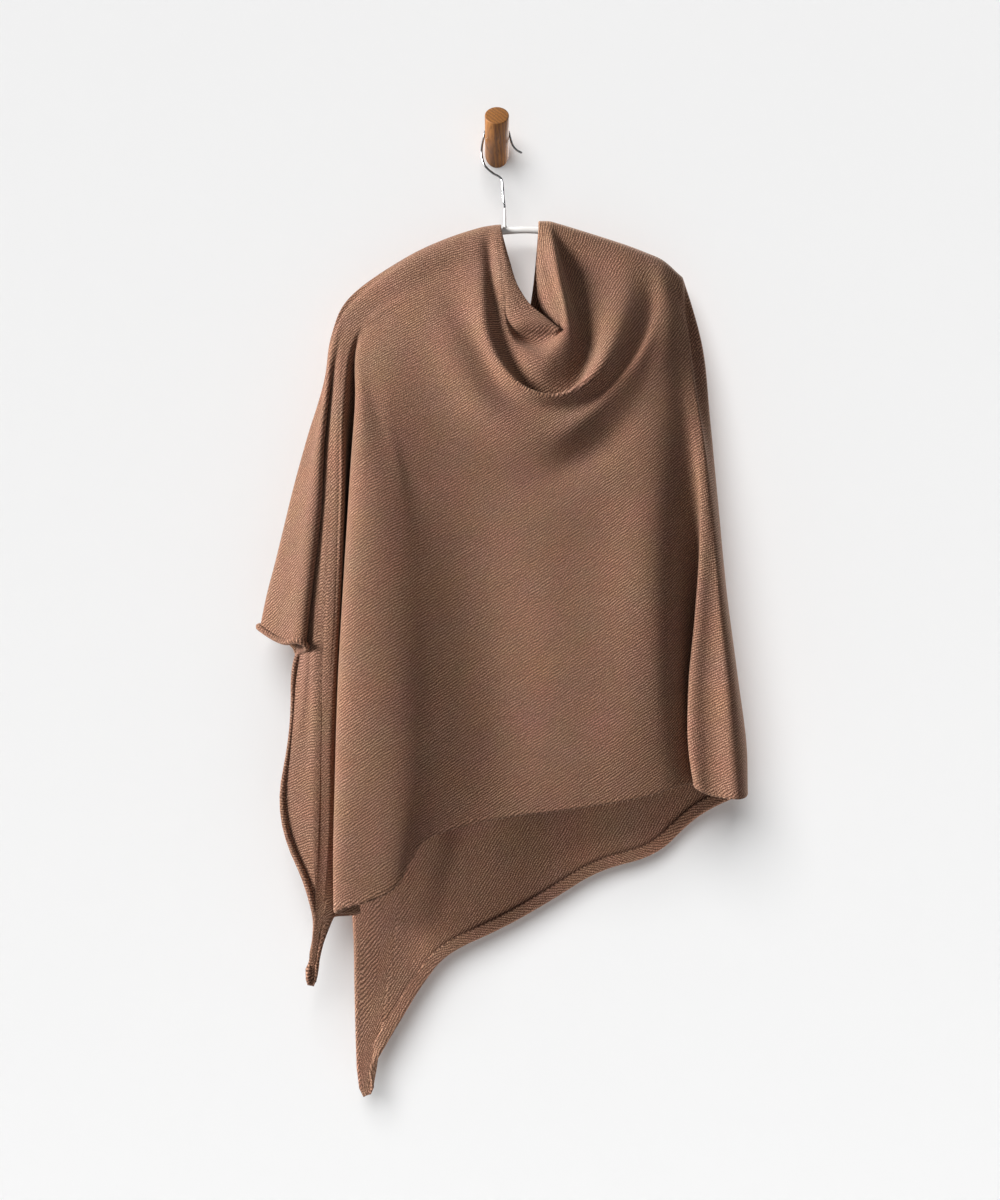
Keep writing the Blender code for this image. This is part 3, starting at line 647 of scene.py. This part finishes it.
# the same on the hidden back, which leans and drags as the front does
BACK_CREASES = [
    (-5.0, 34, [(432, 300), (420, 420), (402, 560), (388, 700), (380, 840)]),
    (4.0, 40, [(594, 330), (582, 460), (560, 600), (530, 740), (484, 850)]),
    (-4.5, 30, [(648, 370), (655, 500), (662, 620), (668, 730)]),
    (3.5, 26, [(512, 440), (500, 540), (480, 660), (450, 800), (420, 900)]),
    (-3.0, 22, [(560, 400), (548, 520), (520, 660), (486, 780)]),
]
FRONT_DEPTH = -95.0
BACK_DEPTH = -25.0


def push(grid, facing_grid, index, creases, depth_at, side):
    """Move the cloth along its normals by every crease's bell curve; side is -1 in front."""
    part, out = grid[:, index % columns], facing_grid[:, index % columns]
    forward_by = np.zeros(part.shape[:2])
    for forward, half_width, pixels in creases:
        line = np.array([from_photo(px, py, depth_at) for px, py in pixels])
        so_far = lengths(line)
        steps = np.arange(0, so_far[-1], half_width / 4)
        fine = through_points(line, steps)
        fade = np.sin(np.pi * np.clip(steps / so_far[-1], 0.02, 0.98)) ** 0.5
        away = np.linalg.norm(part[:, :, None, ::2] - fine, axis=3)
        bells = np.exp(-(away / half_width) ** 2) * fade
        forward_by += forward * bells.sum(axis=2) / (4 * math.sqrt(math.pi))
    flat_enough = np.clip(side * out[..., 1], 0, 1) ** 0.5
    grid[:, index % columns] = part + (forward_by * flat_enough)[..., None] * out


# %% [markdown]
# ## Which way the cloth faces
#
# The wall is laid on both sides of this middle surface, along its normals. Where the knit turns
# tightly the normals are evened out over a few millimetres, as the cloth's own thickness does.

# %% Normals
EVEN_OVER = 4.0
EVEN_NORMALS = 10 * FINER  # times
CALM_FROM = 6  # the second ridge: rows from here down are evened more
EVEN_NECK = 1
EVEN_BODY = 6


def grid_normals(grid):
    around = np.roll(grid, -1, axis=1) - np.roll(grid, 1, axis=1)
    down = np.empty_like(grid)
    down[1:-1] = grid[2:] - grid[:-2]
    down[0] = grid[1] - grid[0]
    down[-1] = grid[-1] - grid[-2]
    normals = unit(np.cross(down, around))
    step = np.linalg.norm(np.roll(grid, -1, axis=1) - grid, axis=2, keepdims=True)
    share = np.exp(-step / EVEN_OVER)
    for _ in range(EVEN_NORMALS):
        normals = unit(normals + share * np.roll(normals, -1, axis=1)
                       + np.roll(share, 1, axis=1) * np.roll(normals, 1, axis=1))
    return normals


calm = int(np.searchsorted(row_places, section_knots[CALM_FROM]))
even_along(cloth[:calm + 2], EVEN_NECK)
even_along(cloth[calm:], EVEN_BODY)

# columns, middle row, half the rows, times: under the cowl, and above the back's low corner
for patch in ((front_index[24:-12], FIRST_BODY_ROW - 7, 13, 70),
              (back_index[10:-10], len(cloth) - 52, 17, 30)):
    even_patch(cloth, *patch)
for crease in ((front_index, FRONT_CREASES, FRONT_DEPTH, -1),
               (back_index, BACK_CREASES, BACK_DEPTH, 1)):
    push(cloth, grid_normals(cloth), *crease)
normals = grid_normals(cloth)
print("front faces the viewer:",
      round(float(-normals[FIRST_BODY_ROW, front_index, 1].mean()), 2))

# %% [markdown]
# ## Curled edges and turned-up hems
#
# Jersey curls at a cut or open edge, and this garment leaves that roll showing on its short edges.
# Its long edges are turned up inside. Both carry on the grid past its last row: each column adds a
# small profile in the plane of the cloth's edge, a spiral outward or a half turn inward and up.
# The roll is slimmer at the two low corners and just below the sleeve's hem.

# %% Edge profiles
EDGE_ROWS = 16
CURL_RADIUS = 2.9
CURL_RUN = 1.8  # flat cloth before the curl
CURL_STEP = 26  # degrees to a row
CURL_TIGHTER = 0.018  # a row
HEM_RADIUS = 1.9
HEM_WIDTH = 10.0
HEM_TURN_ROWS = 9  # rows of the half turn
CORNER_LESS = 0.5  # share of the profile taken off at a corner
CORNER_REACH = 4  # columns
SLIM_LESS = 0.6  # share of the roll taken off just below the sleeve's hem
SLIM_Z = -680  # height, and how far up and down from it
SLIM_REACH = 75
SLIM_BEFORE_Y = -55  # only on the front cloth


def curl_profile():
    """Distance past the edge and outward, along one and a bit turns of the curl."""
    places = [(CURL_RUN * t, 0.0) for t in (0.5, 1.0)]
    for k in range(1, EDGE_ROWS - 1):
        turn = math.radians(CURL_STEP * k)
        radius = CURL_RADIUS * (1 - CURL_TIGHTER * k)
        places.append((CURL_RUN + radius * math.sin(turn), CURL_RADIUS - radius * math.cos(turn)))
    return np.array(places)


def hem_profile():
    """The same for a hem: a half turn inward, then up along the inside."""
    places = []
    for k in range(1, HEM_TURN_ROWS + 1):
        turn = math.pi * k / HEM_TURN_ROWS
        places.append((HEM_RADIUS * math.sin(turn), HEM_RADIUS * (math.cos(turn) - 1)))
    flat_rows = EDGE_ROWS - HEM_TURN_ROWS
    for k in range(1, flat_rows + 1):
        places.append((-HEM_WIDTH * k / flat_rows, -2 * HEM_RADIUS))
    return np.array(places)


def edge_weights():
    """How much each column curls: 1 on the open edges, 0 on the hems, eased at the corners."""
    foot = cloth[-1]
    corner = front_index[np.argmin(foot[front_index, 2] + 1e3 * (foot[front_index, 0] > -150))]
    back_corner = back_index[np.argmin(foot[back_index % columns, 2])]
    weights = np.zeros(columns)
    weights[np.arange(back_corner, columns + corner + 1) % columns] = 1
    for _ in range(3):
        weights = (np.roll(weights, 1) + 2 * weights + np.roll(weights, -1)) / 4
    return weights, corner, back_corner


curls, front_corner, back_corner = edge_weights()
edge, edge_normal = cloth[-1], normals[-1]
along_edge = unit(np.roll(edge, -2, axis=0) - np.roll(edge, 2, axis=0))
past = unit(np.cross(along_edge, edge_normal))
past *= np.sign((past * (edge - cloth[-2])).sum())
out_of = unit(np.cross(past, along_edge))
out_of *= np.sign((out_of * edge_normal).sum(axis=1, keepdims=True))

profile = np.array([curl_profile(), hem_profile()])
slim = np.exp(-((edge[:, 2] - SLIM_Z) / SLIM_REACH) ** 2) * (edge[:, 1] < SLIM_BEFORE_Y)
at_corners = 1.0
for corner in (front_corner, back_corner):
    away = (np.arange(columns) - corner + columns // 2) % columns - columns // 2
    at_corners = at_corners * (1 - CORNER_LESS * np.exp(-(away / CORNER_REACH) ** 2))
profile_size = ((curls * (1 - SLIM_LESS * slim) + (1 - curls)) * at_corners)[None, :, None]
mixed = (curls[None, :, None] * profile[0][:, None, :]
         + (1 - curls[None, :, None]) * profile[1][:, None, :]) * profile_size
edge_rows = edge + mixed[..., :1] * past + mixed[..., 1:] * out_of
whole = np.concatenate([cloth, edge_rows])
heading = np.empty_like(mixed)
stacked = np.concatenate([np.zeros((1,) + mixed.shape[1:]), mixed])
heading[:-1] = stacked[2:] - stacked[:-2]
heading[-1] = stacked[-1] - stacked[-2]
heading = unit(heading)
edge_facing = -heading[..., 1:] * past + heading[..., :1] * out_of
facing = np.concatenate([normals, unit(edge_facing)])
print("curled columns", int((curls > 0.5).sum()), "of", columns)

# %% [markdown]
# ## Laying the panels
#
# A grid from bmesh is bent round each panel: down its outside, round its last row, up its inside
# and round its first row, back to where it began. Merging the rows that meet closes the wall. At
# each side one more column lies on the middle surface and closes the end.

# %% Build a panel
RIM = 3  # rows that round an edge of the wall
SEAM_THIN = 0.6  # the wall's share that is left at a seam


def grid_net(places):
    """A grid from bmesh with its vertices moved to places, by row and column, in metres."""
    net = bmesh.new()
    bmesh.ops.create_grid(net, x_segments=places.shape[1] - 1, y_segments=len(places) - 1,
                          size=1)
    for vert, place in zip(net.verts, places.reshape(-1, 3)):
        vert.co = place
    return net


def rim_rows(row, facing_row, ahead):
    """Half a round edge from the outside to the inside of a wall."""
    turns = [math.pi * k / (RIM + 1) for k in range(1, RIM + 1)]
    return [row + WALL / 2 * (math.cos(turn) * facing_row + math.sin(turn) * ahead)
            for turn in turns]


def lay_panel(index, seam_sides):
    """The closed wall of the columns given; seam_sides says which of its two sides are sewn."""
    index = index % columns
    middle, face = whole[:, index].copy(), facing[:, index].copy()
    outer, inner = middle + face * WALL / 2, middle - face * WALL / 2
    end = unit(middle[-1] - middle[-2])
    top = unit(middle[0] - middle[1])
    layers = np.array(list(outer) + rim_rows(middle[-1], face[-1], end) + list(inner[::-1])
                      + rim_rows(middle[0], -face[0], top) + [outer[0]])
    middles = np.array(list(middle) + [middle[-1]] * RIM + list(middle[::-1])
                       + [middle[0]] * (RIM + 1))
    for column, sewn in zip((0, -1), seam_sides):
        if sewn:
            out = layers[:, column] - middles[:, column]
            layers[:, column] = middles[:, column] + out * SEAM_THIN
    return grid_net(np.concatenate([middles[:, :1], layers, middles[:, -1:]], axis=1) * MM)


print("a panel has", 2 * len(whole) + 2 * RIM + 1, "rows")

# %% [markdown]
# ## The map that the knit follows
#
# A knit's rows run through the cloth as it was made, so the pattern needs a map of the cloth laid
# flat. Blender's own unwrap makes one from the middle surface. It is then scaled to metres and
# turned so that the rows rise to the right across the front, as the skewed fall of the garment
# makes them do, and steeply on the inside of the back.

# %% Unwrap the middle surface
UNWRAP_EVERY = 4  # only each fourth row and column is unwrapped; the rest is read between
FRONT_ROWS = ((0, -520), math.radians(33))  # at this x and z, the rows rise by this angle
BACK_ROWS = ((0, -700), math.radians(60))


def unwrapped(places):
    """The points of a grid laid flat by Blender's own unwrap."""
    net = grid_net(places)
    mesh = bpy.data.meshes.new("flat_pattern")
    net.to_mesh(mesh)
    net.free()
    sheet = bpy.data.objects.new("flat_pattern", mesh)
    bpy.context.scene.collection.objects.link(sheet)
    bpy.context.view_layer.objects.active = sheet
    sheet.select_set(True)
    bpy.ops.object.mode_set(mode="EDIT")
    bpy.ops.mesh.select_all(action="SELECT")
    bpy.ops.uv.unwrap(method="MINIMUM_STRETCH", margin=0, iterations=20)
    bpy.ops.object.mode_set(mode="OBJECT")
    flat = np.zeros(2 * len(mesh.loops))
    mesh.uv_layers.active.data.foreach_get("uv", flat)
    corner = np.zeros(len(mesh.loops), int)
    mesh.loops.foreach_get("vertex_index", corner)
    at = np.zeros((places.shape[0] * places.shape[1], 2))
    at[corner] = flat.reshape(-1, 2)
    bpy.data.objects.remove(sheet)
    bpy.data.meshes.remove(mesh)
    return at.reshape(*places.shape[:2], 2)


def every_few(count):
    return np.unique(np.append(np.arange(0, count, UNWRAP_EVERY), count - 1))


def flat_map(index, probe, rise):
    """The cloth laid flat, in metres, turned so that its rows rise at an angle at a probe."""
    middle = whole[:, index % columns] * MM
    rows, cols = middle.shape[:2]
    some_rows, some_cols = every_few(rows), every_few(cols)
    at = unwrapped(middle[np.ix_(some_rows, some_cols)])
    at = through_points(at, np.arange(rows), some_rows.astype(float))
    at = through_points(at.transpose(1, 0, 2), np.arange(cols),
                        some_cols.astype(float)).transpose(1, 0, 2)

    down, across = np.diff(middle[:, :-1], axis=0), np.diff(middle[:-1], axis=1)
    down_flat, across_flat = np.diff(at[:, :-1], axis=0), np.diff(at[:-1], axis=1)
    real_area = np.linalg.norm(np.cross(down, across), axis=2).sum()
    flat_area = np.abs(down_flat[..., 0] * across_flat[..., 1]
                       - down_flat[..., 1] * across_flat[..., 0]).sum()
    at = at * math.sqrt(real_area / flat_area)

    away = np.linalg.norm(middle[..., [0, 2]] - np.array(probe) * MM, axis=2)
    r, c = np.unravel_index(np.argmin(away), away.shape)
    near = slice(r - 3, r + 4), slice(c - 3, c + 4)
    flat_near = at[near].reshape(-1, 2)
    real_near = middle[near].reshape(-1, 3)[:, [0, 2]]
    flat_near = flat_near - flat_near.mean(axis=0)
    real_near = real_near - real_near.mean(axis=0)
    turn = np.linalg.lstsq(real_near, flat_near, rcond=None)[0]
    rows_go = np.array([math.cos(rise), math.sin(rise)]) @ turn
    angle = math.atan2(rows_go[1], rows_go[0])
    c, s = math.cos(-angle), math.sin(-angle)
    at = at @ np.array([[c, s], [-s, c]])
    return at - at.reshape(-1, 2).min(axis=0), real_area


front_map, front_area = flat_map(front_index, *FRONT_ROWS)
back_map, back_area = flat_map(back_index, *BACK_ROWS)
print("middle surfaces", round(front_area, 3), "and", round(back_area, 3), "square metres")

# %% [markdown]
# ## The knitted cloth's finish
#
# The yarn is a soft blend, spun from light and dark fibres, so the camel brown is flecked. The knit
# shows as rows about 3 mm apart with a dark dot in each stitch, painted shade in the stitch's
# hollow, and its surface has a short fuzz that catches light where the cloth turns away. Rows and
# stitches come from the cloth's own map, so that they follow every fold. The fleck comes from noise
# on the same map.

# %% Knit material
ROW_PITCH = 2.8 * MM  # between rows of the knit, as measured on the photograph
STITCH = 2.3 * MM  # along a row
STITCH_SHIFT = 0.37  # of a stitch from row to row
FLECK = 1.1 * MM  # a tuft of lighter fibres; real ones are finer, but wouldn't show
WANDER = 0.004  # metres by which the rows stray


def knit_material(name, light, middle, dark, gap):
    """Heathered fine jersey: matt, flecked, its rows and stitches drawn by bump and by painted shade
    in the gaps.
    """
    knit, shader = new_material(name)
    on_cloth = add_node(knit, "UVMap", {"uv_map": "cloth"}).outputs[0]
    wander = noise(knit, on_cloth, 110.0, 4.0).outputs["Color"]
    place = maths(knit, "MULTIPLY_ADD", wander, (WANDER, WANDER, 0), on_cloth,
                  kind="VectorMath")
    split = add_node(knit, "SeparateXYZ", Vector=place)
    row = maths(knit, "MULTIPLY", split.outputs["Y"], 1 / ROW_PITCH)
    row_wave = maths(knit, "SINE", maths(knit, "MULTIPLY", row, 2 * math.pi))
    shifted = maths(knit, "MULTIPLY_ADD", maths(knit, "FLOOR", row), STITCH_SHIFT * STITCH,
                    split.outputs["X"])
    stitch_wave = maths(knit, "SINE", maths(knit, "MULTIPLY", shifted, 2 * math.pi / STITCH))
    both = maths(knit, "MULTIPLY_ADD", stitch_wave, 0.55, row_wave)
    relief = add_node(knit, "MapRange", {"interpolation_type": "SMOOTHSTEP"}, Value=both,
                      _1=-1.4, _2=1.2).outputs[0]

    fleck = noise(knit, on_cloth, 1 / FLECK, 3.0, 0.65).outputs["Fac"]
    heather = add_node(knit, "ValToRGB", Fac=fleck)
    ramp = heather.color_ramp
    ramp.elements[0].position, ramp.elements[0].color = 0.38, linear(dark)
    ramp.elements[1].position, ramp.elements[1].color = 0.63, linear(light)
    ramp.elements.new(0.5).color = linear(middle)
    cloudy = noise(knit, on_cloth, 22.0, 4.0).outputs["Color"]
    clouds = add_node(knit, "MapRange", {"data_type": "FLOAT_VECTOR"}, _6=cloudy,
                      _7=(0.3, 0.3, 0.3), _8=(0.7, 0.7, 0.7), _9=(0.95, 0.93, 0.93),
                      _10=(1.07, 1.04, 1.05))
    clouded = maths(knit, "MULTIPLY", heather.outputs["Color"], clouds.outputs[1],
                    kind="VectorMath")
    # painted shade: the gap colour darkens the knit where the relief is low, in the hollows between
    # stitches and rows
    colour = add_node(knit, "Mix", {"data_type": "RGBA"}, _0=relief, _6=linear(gap), _7=clouded)
    height = maths(knit, "MULTIPLY_ADD", fleck, 0.5, relief)
    fill_inputs(knit, shader, Base_Color=colour.outputs[2], Normal=bump(knit, height, 0.6, 0.0005),
                Roughness=0.92, Specular_IOR_Level=0.2, Sheen_Weight=0.35, Sheen_Roughness=0.45,
                Sheen_Tint=linear("#D8B8A0"))
    return knit


# the last colour is painted shade for the hollows of the knit
fine_knit = knit_material("heathered_viscose_jersey", "#D3A98D", "#936C56", "#573A2C", "#4A3024")
print(fine_knit.name, len(fine_knit.node_tree.nodes), "nodes")

# %% [markdown]
# ## The two halves of the cloth
#
# Each half is laid, closed, and given its map and its finish. The front stands for the front panel,
# its roll and its hem. The back stands for theirs.

# %% Front and back cloth
def finish_piece(name, net, material, slot, *nodes):
    """Turn a net into a piece that rides on the part and stands for its nodes."""
    mesh = bpy.data.meshes.new(name)
    net.to_mesh(mesh)
    net.free()
    mesh.materials.append(material)
    for face in mesh.polygons:
        face.use_smooth = True
    piece = bpy.data.objects.new(name, mesh)
    bpy.context.scene.collection.objects.link(piece)
    lit_pieces.objects.link(piece)
    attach(piece, "root")
    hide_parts(*nodes)
    print(name, sum(len(face.vertices) - 2 for face in mesh.polygons), "triangles")
    return piece


def cloth_half(name, index, seam_sides, flat, *nodes):
    net = lay_panel(index, seam_sides)
    pattern = net.loops.layers.uv.new("cloth")
    doubled = np.concatenate([flat] + [flat[-1:]] * RIM + [flat[::-1]] + [flat[:1]] * (RIM + 1))
    doubled = np.concatenate([doubled[:, :1], doubled, doubled[:, -1:]], axis=1)
    doubled = doubled.reshape(-1, 2)
    for face in net.faces:
        for loop in face.loops:
            loop[pattern].uv = doubled[loop.vert.index]
    bmesh.ops.remove_doubles(net, verts=net.verts, dist=2e-6)
    bmesh.ops.recalc_face_normals(net, faces=net.faces)
    print(name, "open edges", sum(len(e.link_faces) != 2 for e in net.edges))
    return finish_piece(name, net, fine_knit, "fine_knit", *nodes)


front_cloth = cloth_half("front_cloth", front_index, (True, False), front_map,
                         "front_panel", "front_edge_roll", "front_hem_band")
back_cloth = cloth_half("back_cloth", back_index, (False, True), back_map,
                        "back_panel", "back_edge_roll", "back_hem_band")
lit_inside.objects.link(back_cloth)

# %% [markdown]
# ## The peg
#
# A round oak dowel, sawn square at its tip with its edge just broken, goes up out of the wall. It
# is a cylinder with a small bevel round the end, tilted, and cut off by the wall's plane.

# %% Peg
PEG_RADIUS = 14.2 * MM
PEG_LENGTH = 60 * MM
PEG_TILT = math.radians(30)
EDGE_BREAK = 1.2 * MM

peg_net = bmesh.new()
bmesh.ops.create_cone(peg_net, cap_ends=True, cap_tris=False, segments=96, radius1=PEG_RADIUS,
                      radius2=PEG_RADIUS, depth=2 * PEG_LENGTH)
tip = max(peg_net.faces, key=lambda f: f.calc_center_median().z)
bmesh.ops.bevel(peg_net, geom=list(tip.edges), offset=EDGE_BREAK, segments=4, profile=0.5,
                affect="EDGES", material=-1)
bmesh.ops.rotate(peg_net, verts=peg_net.verts,
                 matrix=Matrix.Rotation(math.pi / 2 - PEG_TILT, 3, "X"))
bmesh.ops.bisect_plane(peg_net, geom=peg_net.verts[:] + peg_net.edges[:] + peg_net.faces[:],
                       dist=1e-7, plane_co=(0, 0, 0), plane_no=(0, 1, 0), clear_outer=True)


def close_net(net):
    """Fill what is open in a net and turn its faces outward."""
    bmesh.ops.holes_fill(net, edges=[e for e in net.edges if len(e.link_faces) == 1], sides=0)
    bmesh.ops.recalc_face_normals(net, faces=net.faces)


close_net(peg_net)
print("peg", len(peg_net.faces), "faces")

# %% [markdown]
# ### Oiled oak
#
# The dowel was turned from straight-grained oak, so its year rings cross the sawn end as nearly
# straight diagonal lines and run along the side as long streaks. One ring pattern in the dowel's
# own directions gives both. Short dark dashes are the open pores. Oil leaves it satin.

# %% Oak material
oak, oak_shader = new_material("oak_oiled_turned")
along_peg = add_node(oak, "Mapping", {"vector_type": "TEXTURE"},
                     Vector=add_node(oak, "TexCoord").outputs["Object"],
                     Rotation=(math.pi / 2 - PEG_TILT, 0, 0))
stretched = maths(oak, "MULTIPLY", along_peg.outputs[0], (1, 1, 0.06), kind="VectorMath")
drift = noise(oak, stretched, 120.0, 3.0).outputs["Color"]
bent = maths(oak, "MULTIPLY_ADD", drift, (0.0016, 0.0016, 0.0), stretched, kind="VectorMath")
rings = add_node(oak, "TexWave", {"wave_type": "BANDS", "bands_direction": "DIAGONAL"},
                 Vector=bent, Scale=110.0, Distortion=2.2, Detail=2.0,
                 Detail_Scale=1.4).outputs["Fac"]
pores = noise(oak, stretched, 1500.0, 2.0).outputs["Fac"]
pore_dark = add_node(oak, "MapRange", Value=pores, _1=0.33, _2=0.45).outputs[0]
oak_colour = add_node(oak, "Mix", {"data_type": "RGBA"}, _0=pore_dark, _6=linear("#4E2E0E"),
                      _7=two_tone(oak, rings, "#7E4E20", "#A0682F"))
oak_rough = add_node(oak, "MapRange", Value=rings, _3=0.48, _4=0.6)
fill_inputs(oak, oak_shader, Base_Color=oak_colour.outputs[2], Roughness=oak_rough.outputs[0],
            Normal=bump(oak, pore_dark, 0.4, 0.0002))
finish_piece("oak_peg", peg_net, oak, "oiled_oak", "wall_peg")

# %% [markdown]
# ## The hanger
#
# The bar is a slim arched rod under the shoulder line, coated white, with a collar that holds the
# hook. A curve with a round section makes the rod, squeezed a little to an oval. The collar is a
# profile spun round its axis.

# %% Bar and collar
HANGER_HEIGHT = 8.0
HANGER_DEPTH = 6.5
UNDER_CLOTH = 8.8  # from the cloth's middle down to the bar's
COLLAR_X = 9.5
BAR_LEFT = (-160, -130, -100, -70, -40, -15)
BAR_NECK = [(8, -101.0), (28, -99.5), (50, -100.0), (80, -104.0)]
BAR_RIGHT = (110, 135, 160, 185, 197)


def rod(name, line, radius, sides, steps, blunt):
    """A round rod through points, as a bmesh, each end rounded over a blunt length."""
    line = at_fractions(line, np.linspace(0, 1, steps))
    so_far = lengths(line)
    to_end = np.minimum(so_far, so_far[-1] - so_far)
    curve = bpy.data.curves.new(name, "CURVE")
    curve.dimensions = "3D"
    curve.bevel_depth = radius * MM
    curve.bevel_resolution = sides
    curve.use_fill_caps = True
    spline = curve.splines.new("POLY")
    spline.points.add(steps - 1)
    for point, place, away in zip(spline.points, line, to_end):
        point.co = (*(place * MM), 1)
        point.radius = math.sqrt(max(0.0, 1 - max(0.0, 1 - away / blunt) ** 2)) * 0.9 + 0.1
    made = bpy.data.objects.new(name, curve)
    net = bmesh.new()
    mesh = bpy.data.meshes.new_from_object(made)
    net.from_mesh(mesh)
    bmesh.ops.remove_doubles(net, verts=net.verts, dist=1e-6)
    bmesh.ops.recalc_face_normals(net, faces=net.faces)
    bpy.data.objects.remove(made)
    bpy.data.curves.remove(curve)
    bpy.data.meshes.remove(mesh)
    return net


bar_line = ([(x, HANGER_Y, ridge_z(x) - UNDER_CLOTH) for x in BAR_LEFT]
            + [(x, HANGER_Y, z) for x, z in BAR_NECK]
            + [(x, HANGER_Y, ridge_z(x) - UNDER_CLOTH) for x in BAR_RIGHT])
bar_net = rod("bar", bar_line, HANGER_HEIGHT / 2, sides=6, steps=90, blunt=3.0)
bmesh.ops.scale(bar_net, verts=bar_net.verts, vec=(1, HANGER_DEPTH / HANGER_HEIGHT, 1),
                space=Matrix.Translation((0, -HANGER_Y * MM, 0)))

collar_profile = [(0.8, -74.0), (1.3, -74.2), (1.45, -75), (1.5, -82), (1.7, -89), (2.1, -94.5),
                  (3.2, -99.5), (1.5, -100)]
collar_verts = [bar_net.verts.new(Vector((COLLAR_X + r, HANGER_Y, z)) * MM)
                for r, z in collar_profile]
collar_edges = [bar_net.edges.new(pair) for pair in zip(collar_verts, collar_verts[1:])]
bmesh.ops.spin(bar_net, geom=collar_verts + collar_edges, axis=(0, 0, 1),
               cent=Vector((COLLAR_X, HANGER_Y, 0)) * MM, dvec=(0, 0, 0),
               angle=2 * math.pi, steps=32, use_merge=True)
close_net(bar_net)

coating, coating_shader = new_material("powder_coating_white")
in_bar = add_node(coating, "TexCoord").outputs["Object"]
peel = noise(coating, in_bar, 900.0, 2.0).outputs["Fac"]
soil = noise(coating, in_bar, 60.0, 3.0).outputs["Fac"]
fill_inputs(coating, coating_shader, Base_Color=two_tone(coating, soil, "#E2DEDA", "#F6F4F1"),
            Roughness=0.38, Normal=bump(coating, peel, 0.25, 0.0002))
finish_piece("hanger_rod", bar_net, coating, "white_coating", "hanger_bar")

# %% [markdown]
# ## The hook
#
# One bright wire goes up from the collar, round the left of the peg, over it and out to its tip.
# It is one curve with a round section. The chrome plating is a mirror with faint smudges.

# %% Hook
HOOK_Y = -21.0
WIRE_RADIUS = 1.3
WIRE_CLEAR = 0.2  # between the wire and the peg
stem = [(COLLAR_X, HANGER_Y, -73.7), (8, -34, -64), (7, -33, -50), (5, -31, -38)]
stem += [(-5, -29, -31), (-14, -27, -22), (-18, -24, -8)]
ring_centre = -HOOK_Y * math.tan(PEG_TILT)
ring_wide = PEG_RADIUS / MM + WIRE_RADIUS + WIRE_CLEAR
ring_high = PEG_RADIUS / MM / math.cos(PEG_TILT) + WIRE_RADIUS + WIRE_CLEAR
over_peg = [(ring_wide * math.cos(math.radians(turn)), HOOK_Y,
             ring_centre + ring_high * math.sin(math.radians(turn)))
            for turn in (175, 150, 120, 90, 60, 30, 5)]
hook_tip = [(19, HOOK_Y, 4), (23, HOOK_Y, -1), (30, HOOK_Y, -5)]
hook_net = rod("wire", stem + over_peg + hook_tip, WIRE_RADIUS, sides=6, steps=200, blunt=1.2)

chrome, chrome_shader = new_material("steel_wire_chrome_plated")
in_wire = add_node(chrome, "TexCoord").outputs["Object"]
smudge = noise(chrome, in_wire, 220.0, 3.0).outputs["Fac"]
chrome_rough = add_node(chrome, "MapRange", Value=smudge, _3=0.08, _4=0.22)
fill_inputs(chrome, chrome_shader, Base_Color=two_tone(chrome, smudge, "#77787A", "#B4B5B7"),
            Roughness=chrome_rough.outputs[0], Metallic=1.0)
finish_piece("hook_wire", hook_net, chrome, "chrome_wire", "hanger_hook")
